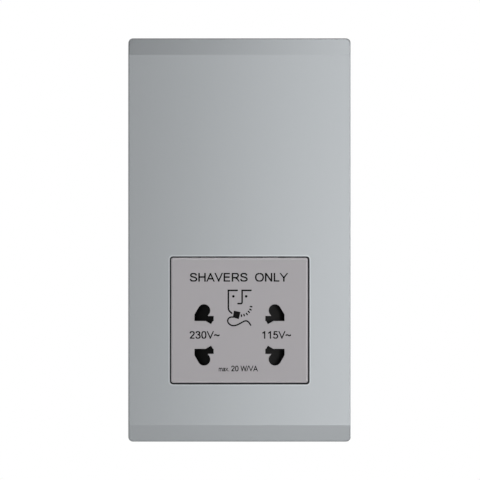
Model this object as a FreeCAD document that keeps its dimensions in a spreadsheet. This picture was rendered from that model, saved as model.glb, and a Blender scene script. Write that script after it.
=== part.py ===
import FreeCAD
import Part
import math
import os
import Sketcher

# A dual-voltage shaver socket: a snap-on cover plate, a socket face with four pin apertures,
# a spring-centred interlocking shutter, and an isolating transformer in a housing behind the wall.
# Frame: X to the right, Z up, Y into the wall. The wall's surface is Y = 0, at the plate's middle.
# "out" is the distance from the wall towards the room, so it is minus Y.

SIZES = {
    # Transformer core of standard no-waste laminations, its legs upright
    "tongue_width": 18.0,
    "core_stack": 18.8,
    "core_side_room": 4.2,
    "core_top_room": 9.5,
    "core_seat_side": 5.0,
    # Coil former and windings
    "bobbin_wall": 1.0,
    "bobbin_fit": 0.2,
    "coil_margin": 0.5,
    "coil_front_room": 0.6,
    "coil_rear_room": 0.2,
    "coil_bevel": 3.0,
    "primary_share": 0.55,
    # Rear housing
    "housing_wall": 1.8,
    "housing_step": 20.0,
    "housing_step_drop": 6.7,
    "housing_round": 2.0,
    "middle_gap": 19.2,
    "vent_width": 2.0,
    "vent_length": 16.0,
    "vent_pitch": 6.0,
    "post_half": 4.1,
    "post_inset": 3.6,
    "boss_half": 3.2,
    "boss_deep": 8.0,
    # Fits
    "seat_fit": 0.3,
    "slide_gap": 0.3,
    "part_fit": 0.2,
    # Mounting frame
    "frame_thick": 3.0,
    "frame_recess": 1.0,
    "frame_gap": 1.0,
    "frame_corner": 2.0,
    "wall_seat": 6.7,
    "lug_room": 5.3,
    "fixing_radius": 2.0,
    "rib_thick": 1.4,
    "rib_height": 1.6,
    "pad_half": 2.0,
    # Cover plate
    "plate_out": 9.0,
    "plate_wall": 2.0,
    "plate_overhang": 17.7,
    "plate_corner": 1.8,
    "plate_edge": 0.5,
    "band_height": 6.4,
    "band_drop": 1.5,
    "window_width": 53.9,
    "window_height": 49.4,
    "window_corner": 1.2,
    "rim_wall": 1.2,
    "rim_depth": 1.8,
    "hook_length": 10.0,
    "hook_reach": 1.6,
    "hook_thick": 1.0,
    "hook_clear": 0.4,
    "hook_spread": 48.0,
    "notch_width": 8.0,
    "notch_height": 1.2,
    # Socket face
    "insert_gap": 0.5,
    "insert_corner": 0.9,
    "face_wall": 2.8,
    "face_chamfer": 0.6,
    "skirt_wall": 1.5,
    "tab_width": 6.0,
    "tab_spread": 12.0,
    "tab_reach": 1.5,
    "barb_reach": 0.8,
    "barb_thick": 1.2,
    # Outlets and the pins that they take
    "outlet_pitch": 27.4,
    "outlet_drop": 5.65,
    "round_pin_spacing": 18.9,
    "round_pin_hole": 2.42,
    "thick_pin_spacing": 16.66,
    "thick_pin_hole": 2.3,
    "thick_pin_shift": 0.6,
    "flat_blade_spacing": 12.7,
    "tilted_blade_spacing": 13.72,
    "blade_slot_length": 7.44,
    "blade_slot_width": 2.0,
    "blade_tilt": 30.0,
    # Interlocking shutter and its centring springs
    "shutter_overlap": 0.4,
    "shutter_height": 26.0,
    "shutter_thick": 2.2,
    "ramp_drop": 1.7,
    "ramp_start": 9.9,
    "spring_slot_half": 12.0,
    "spring_slot_height": 3.0,
    "spring_radius": 0.8,
    "spring_wire": 0.17,
    "spring_turns": 3.5,
    "stop_width": 2.4,
    "cam_width": 6.0,
    "cam_depth": 1.5,
    # Contact carrier and contacts
    "carrier_wall": 1.5,
    "carrier_deep": 11.0,
    "carrier_floor": 2.0,
    "flange_thick": 2.0,
    "flange_width": 46.4,
    "flange_height": 32.4,
    "rail_thick": 1.3,
    "well_width": 8.2,
    "well_height": 9.2,
    "well_middle": 8.0,
    "strip_thick": 0.5,
    "strip_width": 6.0,
    "arm_bend": 3.0,
    "arm_pinch": 0.6,
    "arm_lip": 1.0,
    "near_arm_lean": 1.2,
    "far_arm_lean": 3.4,
    "far_arm_flare": 1.0,
    "tail_width": 3.0,
    "tail_thick": 0.8,
    "tail_length": 3.5,
    # Switch that joins the mains when the shutter moves
    "switch_length": 24.0,
    "switch_height": 5.0,
    "switch_rise": 6.0,
    "leaf_thick": 0.3,
    "leaf_drop": 1.0,
    "leaf_gap": 1.2,
    "leaf_foot": 4.0,
    "leaf_tip": 0.6,
    # Thermal cut-out
    "cutout_length": 16.0,
    "cutout_height": 4.0,
    "cutout_depth": 7.5,
    # Mains terminals
    "terminal_pitch": 12.0,
    "terminal_width": 7.0,
    "terminal_deep": 9.0,
    "terminal_tall": 9.0,
    "terminal_bore": 1.75,
    "terminal_bore_deep": 3.5,
    "wire_port": 4.4,
    "block_wall": 1.5,
    "block_floor": 1.5,
    "block_drop": 2.0,
    "block_hook_width": 5.0,
    # Screws
    "screw_radius": 1.5,
    "screw_head": 2.6,
    "screw_head_thick": 1.8,
    "screw_bite": 6.0,
    "thread_fit": 0.05,
}

doc = FreeCAD.newDocument("shaver_socket")
sheet = doc.addObject("Spreadsheet::Sheet", "Sizes")
for row, (alias, number) in enumerate(SIZES.items(), start=1):
    sheet.set(f"A{row}", alias.replace("_", " "))
    sheet.set(f"B{row}", str(number))
    sheet.setAlias(f"B{row}", alias)
doc.recompute()


class Size:
    """A number together with the sheet expression that drives it."""

    def __init__(self, value, text):
        self.value = value
        self.text = text

    @staticmethod
    def of(other):
        return other if isinstance(other, Size) else Size(float(other), f"{other:g}")

    def joined(self, other, sign, value):
        return Size(value, f"({self.text} {sign} {Size.of(other).text})")

    def __add__(self, other):
        return self.joined(other, "+", self.value + Size.of(other).value)

    def __sub__(self, other):
        return self.joined(other, "-", self.value - Size.of(other).value)

    def __mul__(self, other):
        return self.joined(other, "*", self.value * Size.of(other).value)

    def __truediv__(self, other):
        return self.joined(other, "/", self.value / Size.of(other).value)

    def __radd__(self, other):
        return Size.of(other) + self

    def __rmul__(self, other):
        return Size.of(other) * self

    def __neg__(self):
        return Size(-self.value, f"(-1 * {self.text})")


class Sheet:
    """The driving sizes by name, each tied to its cell."""

    def __getattr__(self, alias):
        return Size(SIZES[alias], f"Sizes.{alias}")


s = Sheet()
ZERO = Size(0.0, "0")


def sine(angle):
    return Size(math.sin(math.radians(angle.value)), f"sin({angle.text})")


def cosine(angle):
    return Size(math.cos(math.radians(angle.value)), f"cos({angle.text})")


# Sizes that follow from the driving ones, from the inside outwards

core_width = s.tongue_width * 3
core_height = s.tongue_width * 2.5
yoke = s.tongue_width / 2
coil_window = s.tongue_width * 1.5
housing_inner_x = core_width / 2 + s.core_side_room
housing_x = housing_inner_x + s.housing_wall
housing_inner_z = (s.seat_fit + s.flange_height + s.middle_gap + core_height + s.core_top_room) / 2
housing_z = housing_inner_z + s.housing_wall
frame_x = housing_x + s.seat_fit + s.wall_seat
plate_x = frame_x + s.frame_gap + s.plate_wall
fixing_z = housing_z + s.lug_room
plate_z = fixing_z + s.plate_overhang
frame_z = plate_z - s.plate_wall - s.frame_gap
frame_rear = s.frame_recess
outlet_z = s.seat_fit + s.flange_height / 2 - housing_inner_z
outlet_x = s.outlet_pitch / 2
window_z = outlet_z + s.outlet_drop
insert_x = s.window_width / 2 - s.insert_gap
insert_z = s.window_height / 2 - s.insert_gap
face_back = s.plate_out - s.face_wall
shutter_front = face_back - s.slide_gap
shutter_back = shutter_front - s.shutter_thick
carrier_front = shutter_back - s.slide_gap
shutter_x = outlet_x + s.blade_slot_length / 2 + s.shutter_overlap
shutter_z = s.shutter_height / 2
carrier_x = outlet_x + s.well_width / 2 + s.carrier_wall
carrier_z = shutter_z + s.slide_gap + s.rail_thick
core_low = s.seat_fit + s.flange_height + s.middle_gap - housing_inner_z
core_high = core_low + core_height
coil_half_deep = s.core_stack / 2 + yoke - s.bobbin_fit
core_middle_deep = coil_half_deep + s.coil_front_room - frame_rear
core_front = core_middle_deep - s.core_stack / 2
core_back = core_middle_deep + s.core_stack / 2
housing_deep = core_middle_deep + coil_half_deep + s.coil_rear_room + s.housing_wall
housing_step_z = core_low - s.housing_step_drop
post_x = housing_inner_x - s.post_inset
post_z = housing_inner_z - s.post_inset
screw_seat = s.boss_deep + s.screw_bite
terminal_z = outlet_z - s.block_drop
terminal_front = s.housing_step + s.block_floor
wire_deep = terminal_front + s.terminal_bore_deep
VENTS = 5
OCTAGON_TIP = math.tan(math.pi / 8)
PLANES = {"front": "XZ_Plane", "side": "YZ_Plane", "top": "XY_Plane"}


def bind(thing, prop, size):
    thing.setExpression(prop, Size.of(size).text)


def new_body(label):
    body = doc.addObject("PartDesign::Body", label)
    body.Label = label
    return body


def rectangle(u_low, u_high, v_low, v_high):
    return [(u_low, v_low), (u_high, v_low), (u_high, v_high), (u_low, v_high)]


def middle_rectangle(u, v, half_u, half_v):
    return rectangle(u - half_u, u + half_u, v - half_v, v + half_v)


def eight_sides(u, v, half):
    """A cored hole for a screw: flats that lie half a width from its middle."""
    tip = half * OCTAGON_TIP
    around = [(half, -tip), (half, tip), (tip, half), (-tip, half),
              (-half, tip), (-half, -tip), (-tip, -half), (tip, -half)]
    return [(u + du, v + dv) for du, dv in around]


def hold(sketch, kind, geometry, point, size):
    number = sketch.addConstraint(Sketcher.Constraint(kind, -1, 1, geometry, point, size.value))
    bind(sketch, f"Constraints[{number}]", size)


def draw_polygon(sketch, points):
    points = [(Size.of(u), Size.of(v)) for u, v in points]
    corners = [FreeCAD.Vector(u.value, v.value, 0) for u, v in points]
    following = corners[1:] + corners[:1]
    lines = [Part.LineSegment(a, b) for a, b in zip(corners, following)]
    ids = sketch.addGeometry(lines)
    for here, after in zip(ids, ids[1:] + ids[:1]):
        sketch.addConstraint(Sketcher.Constraint("Coincident", here, 2, after, 1))
    for line, (u, v) in zip(ids, points):
        hold(sketch, "DistanceX", line, 1, u)
        hold(sketch, "DistanceY", line, 1, v)


def draw_circle(sketch, u, v, radius):
    u, v, radius = Size.of(u), Size.of(v), Size.of(radius)
    centre = FreeCAD.Vector(u.value, v.value, 0)
    circle = sketch.addGeometry(Part.Circle(centre, FreeCAD.Vector(0, 0, 1), radius.value))
    hold(sketch, "DistanceX", circle, 3, u)
    hold(sketch, "DistanceY", circle, 3, v)
    number = sketch.addConstraint(Sketcher.Constraint("Radius", circle, radius.value))
    bind(sketch, f"Constraints[{number}]", radius)


def new_sketch(body, name, view, level, outlines):
    """A sketch parallel to an origin plane; an outline is corners, or a middle and radius."""
    sketch = body.newObject("Sketcher::SketchObject", name + "_sketch")
    plane = next(f for f in body.Origin.OriginFeatures if f.Role == PLANES[view])
    sketch.AttachmentSupport = [(plane, "")]
    sketch.MapMode = "FlatFace"
    bind(sketch, ".AttachmentOffset.Base.z", level)
    for outline in outlines:
        if isinstance(outline, tuple):
            draw_circle(sketch, *outline)
        else:
            draw_polygon(sketch, outline)
    return sketch


def grow(body, name, view, low, high, outlines):
    """Add material between two levels of the view's normal: out, X or Z."""
    feature_of(body, "PartDesign::Pad", name, new_sketch(body, name, view, low, outlines), low, high)


def cut(body, name, view, low, high, outlines):
    """Take material away between two levels of the view's normal."""
    feature_of(body, "PartDesign::Pocket", name, new_sketch(body, name, view, high, outlines), low, high)


def feature_of(body, kind, name, sketch, low, high):
    doc.recompute()
    before = body.Shape.Volume if body.Tip else 0.0
    feature = body.newObject(kind, name)
    feature.Profile = sketch
    bind(feature, "Length", Size.of(high) - low)
    doc.recompute()
    change = feature.Shape.Volume - before
    if change == 0 or (change > 0) != (kind == "PartDesign::Pad"):
        raise RuntimeError(f"{body.Label}: {name} changes the volume by {change}")


def along(edge, axis):
    return edge.Curve.TypeId == "Part::GeomLine" and abs(edge.Curve.Direction.dot(axis)) > 0.999


def soften(body, kind, name, prop, size, chosen):
    """Round or bevel the edges of the body that the test picks out."""
    doc.recompute()
    tip = body.Tip
    names = [f"Edge{i}" for i, edge in enumerate(tip.Shape.Edges, start=1) if chosen(edge)]
    feature = body.newObject(kind, name)
    feature.Base = (tip, names)
    bind(feature, prop, size)
    doc.recompute()
    if not feature.Shape.isValid():
        raise RuntimeError(f"{body.Label}: {name} isn't valid")


def fillet(body, name, radius, chosen):
    soften(body, "PartDesign::Fillet", name, "Radius", radius, chosen)


X_AXIS = FreeCAD.Vector(1, 0, 0)
Y_AXIS = FreeCAD.Vector(0, 1, 0)
Z_AXIS = FreeCAD.Vector(0, 0, 1)


def near(value, size):
    return abs(value - size.value) < 0.01


def upright_corners(half_x, middle_z, half_z):
    """Edges that run into the wall at the corners of a rectangle seen from the front."""

    def chosen(edge):
        middle = edge.CenterOfMass
        level = abs(middle.z - middle_z.value)
        return along(edge, Y_AXIS) and near(abs(middle.x), half_x) and near(level, half_z)

    return chosen


def place(thing, x, y, z):
    for axis, size in zip("xyz", (x, y, z)):
        bind(thing, f".Placement.Base.{axis}", size)


def rod(name, x, y, z, radius, length):
    """A cylinder that runs into the wall from its first end."""
    thing = doc.addObject("Part::Cylinder", name)
    thing.Placement.Rotation = FreeCAD.Rotation(X_AXIS, -90)
    bind(thing, "Radius", radius)
    bind(thing, "Height", length)
    place(thing, x, y, z)
    return thing


def joined(name, things):
    thing = doc.addObject("Part::MultiFuse", name)
    thing.Shapes = things
    return thing


def group(label, things):
    thing = doc.addObject("Part::Compound", label)
    thing.Label = label
    thing.Links = things
    return thing


def mirrored_pair(size):
    return (-size, size)


# Cover plate

def plate_profile(half_z, front, drop):
    """Side outline of the plate: a flat field between two bands that slope back to the ends."""
    crease = half_z - s.band_height
    return [(ZERO, -half_z), (drop - front, -half_z), (-front, -crease),
            (-front, crease), (drop - front, half_z), (ZERO, half_z)]


def make_cover_plate():
    body = new_body("cover_plate")
    inner_x = plate_x - s.plate_wall
    inner_z = plate_z - s.plate_wall
    inner_out = s.plate_out - s.plate_wall
    grow(body, "shell", "side", -plate_x, plate_x, [plate_profile(plate_z, s.plate_out, s.band_drop)])
    fillet(body, "corners", s.plate_corner, upright_corners(plate_x, ZERO, plate_z))

    def front_rim(edge):
        middle = edge.CenterOfMass
        on_side = near(abs(middle.x), plate_x) and not along(edge, Y_AXIS)
        on_end = near(abs(middle.z), plate_z) and along(edge, X_AXIS)
        return middle.y < -1 and (on_side or on_end or edge.Curve.TypeId != "Part::GeomLine")

    fillet(body, "rim_round", s.plate_edge, front_rim)
    cut(body, "hollow", "side", -inner_x, inner_x, [plate_profile(inner_z, inner_out, s.band_drop)])
    half_x, half_z = s.window_width / 2, s.window_height / 2
    cut(body, "window", "front", inner_out, s.plate_out, [middle_rectangle(ZERO, window_z, half_x, half_z)])
    fillet(body, "window_corners", s.window_corner, upright_corners(half_x, window_z, half_z))
    rim = [middle_rectangle(ZERO, window_z, half_x + s.rim_wall, half_z + s.rim_wall),
           middle_rectangle(ZERO, window_z, half_x, half_z)]
    grow(body, "window_rim", "front", inner_out - s.rim_depth, inner_out, rim)
    hook_low, hook_high = s.hook_clear, s.hook_clear + s.hook_thick
    side_hooks = [rectangle(*sorted_pair(side, inner_x - s.hook_reach, inner_x),
                            level - s.hook_length / 2, level + s.hook_length / 2)
                  for side in (-1, 1) for level in mirrored_pair(s.hook_spread)]
    end_hooks = [rectangle(-s.hook_length / 2, s.hook_length / 2,
                           *sorted_pair(side, inner_z - s.hook_reach, inner_z))
                 for side in (-1, 1)]
    grow(body, "hooks", "front", hook_low, hook_high, side_hooks + end_hooks)
    lever_slot = rectangle(s.hook_length, s.hook_length + s.notch_width, -plate_z, -inner_z)
    cut(body, "lever_slot", "front", ZERO, s.notch_height, [lever_slot])
    return body


def sorted_pair(side, low, high):
    """A span on the positive side, or its mirror image with the lower end first."""
    return (low, high) if side > 0 else (-high, -low)


# Socket face

def aperture_outlines():
    """Outlines that together make one pin aperture, for each kind of pin, at all four places.

    Across is measured from the outlet's middle line, away from the face's middle; up is measured
    from the line between the upper and lower pins.
    """
    half_length, half_width = s.blade_slot_length / 2, s.blade_slot_width / 2
    lean, rise = sine(s.blade_tilt), cosine(s.blade_tilt)
    tilted = s.tilted_blade_spacing / 2
    flat = s.flat_blade_spacing / 2
    round_up = s.round_pin_spacing / 2
    outer_low = (half_length * rise + half_width * lean, tilted + half_length * lean - half_width * rise)
    outer_high = (half_length * rise - half_width * lean, tilted + half_length * lean + half_width * rise)
    inner_high = (-outer_low[0], tilted * 2 - outer_low[1])
    inner_low = (-outer_high[0], tilted * 2 - outer_high[1])
    reach = outer_low[0] * lean + (round_up - outer_low[1]) * rise
    shoulder = (outer_low[0] - reach * lean, outer_low[1] + reach * rise)
    flat_low = flat - half_width
    shapes = {
        "round_pins": (ZERO, round_up, s.round_pin_hole),
        "thick_pins": (s.thick_pin_shift, s.thick_pin_spacing / 2, s.thick_pin_hole),
        "flat_blades": middle_rectangle(ZERO, flat, half_length, half_width),
        "tilted_blades": [outer_low, outer_high, inner_high, inner_low],
        "shoulders": [(ZERO, flat_low), (outer_low[0], flat_low), outer_low, shoulder, (ZERO, round_up)],
    }
    return {name: [put_at_outlet(shape, side, row) for side in (-1, 1) for row in (-1, 1)]
            for name, shape in shapes.items()}


def put_at_outlet(shape, side, row):
    """Move a shape to one of the four pins: side is left or right, row is lower or upper."""
    if isinstance(shape, tuple):
        across, up, radius = shape
        return (side * (outlet_x + across), outlet_z + row * up, radius)
    return [(side * (outlet_x + across), outlet_z + row * up) for across, up in shape]


def make_socket_face():
    body = new_body("socket_face")
    middle = (ZERO, window_z)
    grow(body, "slab", "front", s.frame_thick, s.plate_out, [middle_rectangle(*middle, insert_x, insert_z)])
    fillet(body, "corners", s.insert_corner, upright_corners(insert_x, window_z, insert_z))
    inner = middle_rectangle(*middle, insert_x - s.skirt_wall, insert_z - s.skirt_wall)
    cut(body, "hollow", "front", s.frame_thick, face_back, [inner])

    def front_rim(edge):
        return near(-edge.BoundBox.YMin, s.plate_out) and near(-edge.BoundBox.YMax, s.plate_out)

    soften(body, "PartDesign::Chamfer", "front_bevel", "Size", s.face_chamfer, front_rim)
    for name, outlines in aperture_outlines().items():
        cut(body, name, "front", face_back, s.plate_out, outlines)
    sweep_room = middle_rectangle(ZERO, outlet_z, insert_x - s.skirt_wall / 2, shutter_z + s.slide_gap)
    cut(body, "shutter_room", "front", s.frame_thick, face_back, [sweep_room])
    low, high = window_z - insert_z, window_z + insert_z
    tabs = [middle_rectangle(x, low + s.skirt_wall / 2, s.tab_width / 2, s.skirt_wall / 2)
            for x in mirrored_pair(s.tab_spread)]
    grow(body, "tabs", "front", s.frame_thick - s.tab_reach, s.frame_thick, tabs)
    barb_high = frame_rear - s.part_fit
    barb_low = barb_high - s.barb_thick
    legs = [middle_rectangle(x, high - s.skirt_wall / 2, s.tab_width / 2, s.skirt_wall / 2)
            for x in mirrored_pair(s.tab_spread)]
    grow(body, "legs", "front", barb_low, s.frame_thick, legs)
    barbs = [rectangle(x - s.tab_width / 2, x + s.tab_width / 2, high, high + s.barb_reach)
             for x in mirrored_pair(s.tab_spread)]
    grow(body, "barbs", "front", barb_low, barb_high, barbs)
    return body


# Mounting frame

def make_mounting_frame():
    body = new_body("mounting_frame")
    grow(body, "panel", "front", ZERO, s.frame_thick, [middle_rectangle(ZERO, ZERO, frame_x, frame_z)])
    fillet(body, "corners", s.frame_corner, upright_corners(frame_x, ZERO, frame_z))
    seat = middle_rectangle(ZERO, ZERO, housing_x + s.seat_fit, housing_z + s.seat_fit)
    cut(body, "housing_seat", "front", ZERO, frame_rear, [seat])
    window = middle_rectangle(ZERO, outlet_z, carrier_x + s.seat_fit, carrier_z + s.seat_fit)
    cut(body, "carrier_window", "front", frame_rear, s.frame_thick, [window])
    fixings = [(ZERO, z, s.fixing_radius) for z in mirrored_pair(fixing_z)]
    cut(body, "fixing_holes", "front", ZERO, s.frame_thick, fixings)
    tab_rows = (window_z - insert_z + s.skirt_wall / 2, window_z + insert_z - s.skirt_wall / 2)
    slots = [middle_rectangle(x, z, s.tab_width / 2 + s.part_fit, s.skirt_wall / 2 + s.part_fit)
             for x in mirrored_pair(s.tab_spread) for z in tab_rows]
    cut(body, "tab_slots", "front", frame_rear, s.frame_thick, slots)
    ledge = s.hook_clear * 2 + s.hook_thick
    inner_x = plate_x - s.plate_wall
    inner_z = plate_z - s.plate_wall
    reach = s.hook_reach + s.hook_clear
    long_hook = s.hook_length / 2 + s.hook_clear
    side_rooms = [rectangle(*sorted_pair(side, inner_x - reach, inner_x), z - long_hook, z + long_hook)
                  for side in (-1, 1) for z in mirrored_pair(s.hook_spread)]
    end_rooms = [rectangle(-long_hook, long_hook, *sorted_pair(side, inner_z - reach, inner_z))
                 for side in (-1, 1)]
    cut(body, "hook_rooms", "front", ZERO, ledge, side_rooms + end_rooms)
    rim_x, rim_z = frame_x - s.frame_corner, frame_z - s.frame_corner
    edge_rib = [middle_rectangle(ZERO, ZERO, rim_x, rim_z),
                middle_rectangle(ZERO, ZERO, rim_x - s.rib_thick, rim_z - s.rib_thick)]
    grow(body, "edge_rib", "front", s.frame_thick, s.frame_thick + s.rib_height, edge_rib)
    clear_x = rim_x - s.rib_thick - s.pad_half
    clear_z = plate_z - s.plate_wall - s.band_height - s.pad_half
    pads = [middle_rectangle(x, z, s.pad_half, s.pad_half)
            for x in mirrored_pair(clear_x) for z in mirrored_pair(clear_z)]
    grow(body, "plate_pads", "front", s.frame_thick, s.plate_out - s.plate_wall, pads)
    brace_top = housing_z
    brace_low = window_z + s.window_height / 2 + s.rim_wall * 2
    braces = [rectangle(x - s.rib_thick / 2, x + s.rib_thick / 2, brace_low, brace_top)
              for x in mirrored_pair(core_width / 4)]
    grow(body, "braces", "front", s.frame_thick, s.frame_thick + s.rib_height, braces)
    bosses = [middle_rectangle(x, z, s.boss_half, s.boss_half)
              for x in mirrored_pair(post_x) for z in mirrored_pair(post_z)]
    grow(body, "screw_bosses", "front", -s.boss_deep, frame_rear, bosses)
    screw_holes = [eight_sides(x, z, s.screw_radius + s.thread_fit)
                   for x in mirrored_pair(post_x) for z in mirrored_pair(post_z)]
    cut(body, "screw_holes", "front", -s.boss_deep, frame_rear, screw_holes)
    grow(body, "core_seats", "front", -core_front, frame_rear, core_seats())
    return body


def core_seats():
    """Four square posts under the outer legs of the core, near its corners."""
    inset = s.core_seat_side / 2
    xs = mirrored_pair(core_width / 2 - yoke / 2)
    return [middle_rectangle(x, z, inset, inset)
            for x in xs for z in (core_low + s.core_seat_side, core_high - s.core_seat_side)]


# Shutter and springs

def make_shutter():
    body = new_body("shutter")
    low, high = outlet_z - shutter_z, outlet_z + shutter_z
    ramp_out = shutter_front - s.ramp_drop
    section = [(-shutter_x, -shutter_back), (-shutter_x, -ramp_out), (-s.ramp_start, -shutter_front),
               (s.ramp_start, -shutter_front), (shutter_x, -ramp_out), (shutter_x, -shutter_back)]
    grow(body, "wedge", "top", low, high, [section])
    slot = middle_rectangle(ZERO, outlet_z, s.spring_slot_half, s.spring_slot_height / 2)
    cut(body, "spring_slot", "front", shutter_back, shutter_front, [slot])
    cam = [(-s.cam_width / 2, high), (ZERO, high - s.cam_depth), (s.cam_width / 2, high)]
    cut(body, "cam_notch", "front", shutter_back, shutter_front, [cam])
    return body


def make_spring(label, side):
    """A compression spring that lies across, between the carrier's stop and the end of the slot."""
    start = s.stop_width / 2 + s.spring_wire + s.thread_fit
    length = s.spring_slot_half - s.stop_width / 2 - (s.spring_wire + s.thread_fit) * 2
    axis_out = (shutter_front + shutter_back) / 2
    left_end = start if side > 0 else -(start + length)
    helix = doc.addObject("Part::Helix", label + "_path")
    helix.Placement.Rotation = FreeCAD.Rotation(Y_AXIS, 90)
    bind(helix, "Radius", s.spring_radius)
    bind(helix, "Pitch", length / s.spring_turns)
    bind(helix, "Height", length)
    place(helix, left_end, -axis_out, outlet_z)
    wire = doc.addObject("Part::RegularPolygon", label + "_wire")
    wire.Placement.Rotation = FreeCAD.Rotation(X_AXIS, 90)
    wire.Polygon = 4
    bind(wire, "Circumradius", s.spring_wire)
    place(wire, left_end, -axis_out, outlet_z - s.spring_radius)
    spring = doc.addObject("Part::Sweep", label)
    spring.Label = label
    spring.Sections = [wire]
    spring.Spine = (helix, ["Edge1"])
    spring.Solid = True
    spring.Frenet = True
    return spring


# Contact carrier and contacts

def well_outlines():
    half_x, half_z = s.well_width / 2, s.well_height / 2
    return [middle_rectangle(side * outlet_x, outlet_z + row * s.well_middle, half_x, half_z)
            for side in (-1, 1) for row in (-1, 1)]


def tail_outlines(clearance):
    half_x, half_z = s.tail_width / 2 + clearance, s.tail_thick / 2 + clearance
    return [middle_rectangle(side * outlet_x, outlet_z + row * s.well_middle, half_x, half_z)
            for side in (-1, 1) for row in (-1, 1)]


def make_contact_carrier():
    body = new_body("contact_carrier")
    grow(body, "block", "front", -s.carrier_deep, carrier_front,
         [middle_rectangle(ZERO, outlet_z, carrier_x, carrier_z)])
    flange = middle_rectangle(ZERO, outlet_z, s.flange_width / 2, s.flange_height / 2)
    grow(body, "flange", "front", frame_rear - s.flange_thick, frame_rear, [flange])
    floor = s.carrier_floor - s.carrier_deep
    cut(body, "wells", "front", floor, carrier_front, well_outlines())
    cut(body, "tail_slots", "front", -s.carrier_deep, floor, tail_outlines(s.part_fit))
    rail_low, rail_high = shutter_z + s.slide_gap, carrier_z
    gap = s.switch_length / 2
    rails = [rectangle(-carrier_x, carrier_x, outlet_z - rail_high, outlet_z - rail_low),
             rectangle(-carrier_x, -gap, outlet_z + rail_low, outlet_z + rail_high),
             rectangle(gap, carrier_x, outlet_z + rail_low, outlet_z + rail_high)]
    grow(body, "rails", "front", carrier_front, shutter_front, rails)
    stop = middle_rectangle(ZERO, outlet_z, s.stop_width / 2, s.spring_slot_height / 2 - s.slide_gap)
    grow(body, "spring_stop", "front", carrier_front, shutter_front, [stop])
    return body


def make_contact(label, side, row):
    """A bent strip that grips a pin between two sprung arms, with a solder tail at the back."""
    body = new_body(label)
    half = s.well_height / 2 - s.part_fit
    floor = s.carrier_deep - s.carrier_floor
    near_arm, far_arm = s.well_middle - half, s.well_middle + half
    bend, pinch, lip = s.arm_bend, s.arm_pinch, -s.arm_lip
    strip = s.strip_thick
    near_pinch, near_lip = near_arm + s.near_arm_lean, near_arm + s.near_arm_lean / 2
    far_pinch = far_arm - s.far_arm_lean
    far_lip = far_pinch + s.far_arm_flare
    outline = [(floor, near_arm), (bend, near_arm), (pinch, near_pinch), (lip, near_lip),
               (lip, near_lip + strip), (pinch, near_pinch + strip), (bend, near_arm + strip),
               (floor - strip, near_arm + strip), (floor - strip, far_arm - strip),
               (bend, far_arm - strip), (pinch, far_pinch - strip), (lip, far_lip - strip),
               (lip, far_lip), (pinch, far_pinch), (bend, far_arm), (floor, far_arm)]
    outline = [(deep, outlet_z + row * up) for deep, up in outline]
    middle = side * outlet_x
    grow(body, "strip", "side", middle - s.strip_width / 2, middle + s.strip_width / 2, [outline])
    tail = middle_rectangle(middle, outlet_z + row * s.well_middle, s.tail_width / 2, s.tail_thick / 2)
    grow(body, "tail", "front", -(s.carrier_deep + s.tail_length), -floor, [tail])
    return body


# Switch

def make_switch():
    """A springy leaf rests in the shutter's notch and meets the fixed contact when it is pushed out."""
    top = outlet_z + carrier_z + s.seat_fit
    half = s.switch_length / 2
    base_low = top + s.switch_rise
    base = new_body("switch_base")
    grow(base, "rail", "front", s.frame_thick, shutter_front,
         [rectangle(-half, half, base_low, base_low + s.switch_height)])
    leaf_top = outlet_z + shutter_z + s.switch_rise / 2
    foot = rectangle(-half, s.leaf_foot - half, leaf_top, base_low)
    grow(base, "leaf_foot", "front", s.frame_thick, shutter_front, [foot])
    post = rectangle(half - s.leaf_foot, half, leaf_top + s.leaf_gap + s.leaf_thick, base_low)
    grow(base, "contact_foot", "front", s.frame_thick, shutter_front, [post])
    low, high = s.frame_thick + s.seat_fit + s.slide_gap, shutter_front
    leaf = new_body("switch_leaf")
    bump = outlet_z + shutter_z - s.leaf_drop
    thick = s.leaf_thick
    slope = s.cam_width / 2
    tip = s.leaf_tip
    leaf_low = leaf_top - thick
    path = [(-half, leaf_low), (-slope, leaf_low), (-tip, bump), (tip, bump), (slope, leaf_low),
            (half - s.leaf_foot, leaf_low), (half - s.leaf_foot, leaf_top), (slope - thick, leaf_top),
            (tip - thick / 2, bump + thick), (thick / 2 - tip, bump + thick), (thick - slope, leaf_top),
            (-half, leaf_top)]
    grow(leaf, "strip", "front", low, high, [path])
    fixed = new_body("switch_contact")
    level = leaf_top + s.leaf_gap
    bar = rectangle(slope, half, level, level + thick)
    grow(fixed, "bar", "front", low, high, [bar])
    return [base, leaf, fixed]


# Transformer

def make_core():
    half = core_width / 2
    tongue = s.tongue_width / 2
    leg = half - yoke
    window_low = core_low + yoke
    e_stack = new_body("core_e_stack")
    outline = [(-half, window_low), (-leg, window_low), (-leg, window_low + coil_window),
               (-tongue, window_low + coil_window), (-tongue, window_low), (tongue, window_low),
               (tongue, window_low + coil_window), (leg, window_low + coil_window), (leg, window_low),
               (half, window_low), (half, core_high), (-half, core_high)]
    grow(e_stack, "laminations", "front", -core_back, -core_front, [outline])
    i_stack = new_body("core_i_stack")
    bar = rectangle(-half, half, core_low, window_low)
    grow(i_stack, "laminations", "front", -core_back, -core_front, [bar])
    return [e_stack, i_stack]


def coil_sizes():
    """Half sizes of the former: its tube inside and outside, its cheeks, and the wound turns."""
    tube_in = (s.tongue_width / 2 + s.bobbin_fit, s.core_stack / 2 + s.bobbin_fit)
    tube_out = tuple(size + s.bobbin_wall for size in tube_in)
    cheek = (s.tongue_width / 2 + yoke - s.bobbin_fit, coil_half_deep)
    turns = tuple(size - s.coil_margin for size in cheek)
    return tube_in, tube_out, cheek, turns


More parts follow.
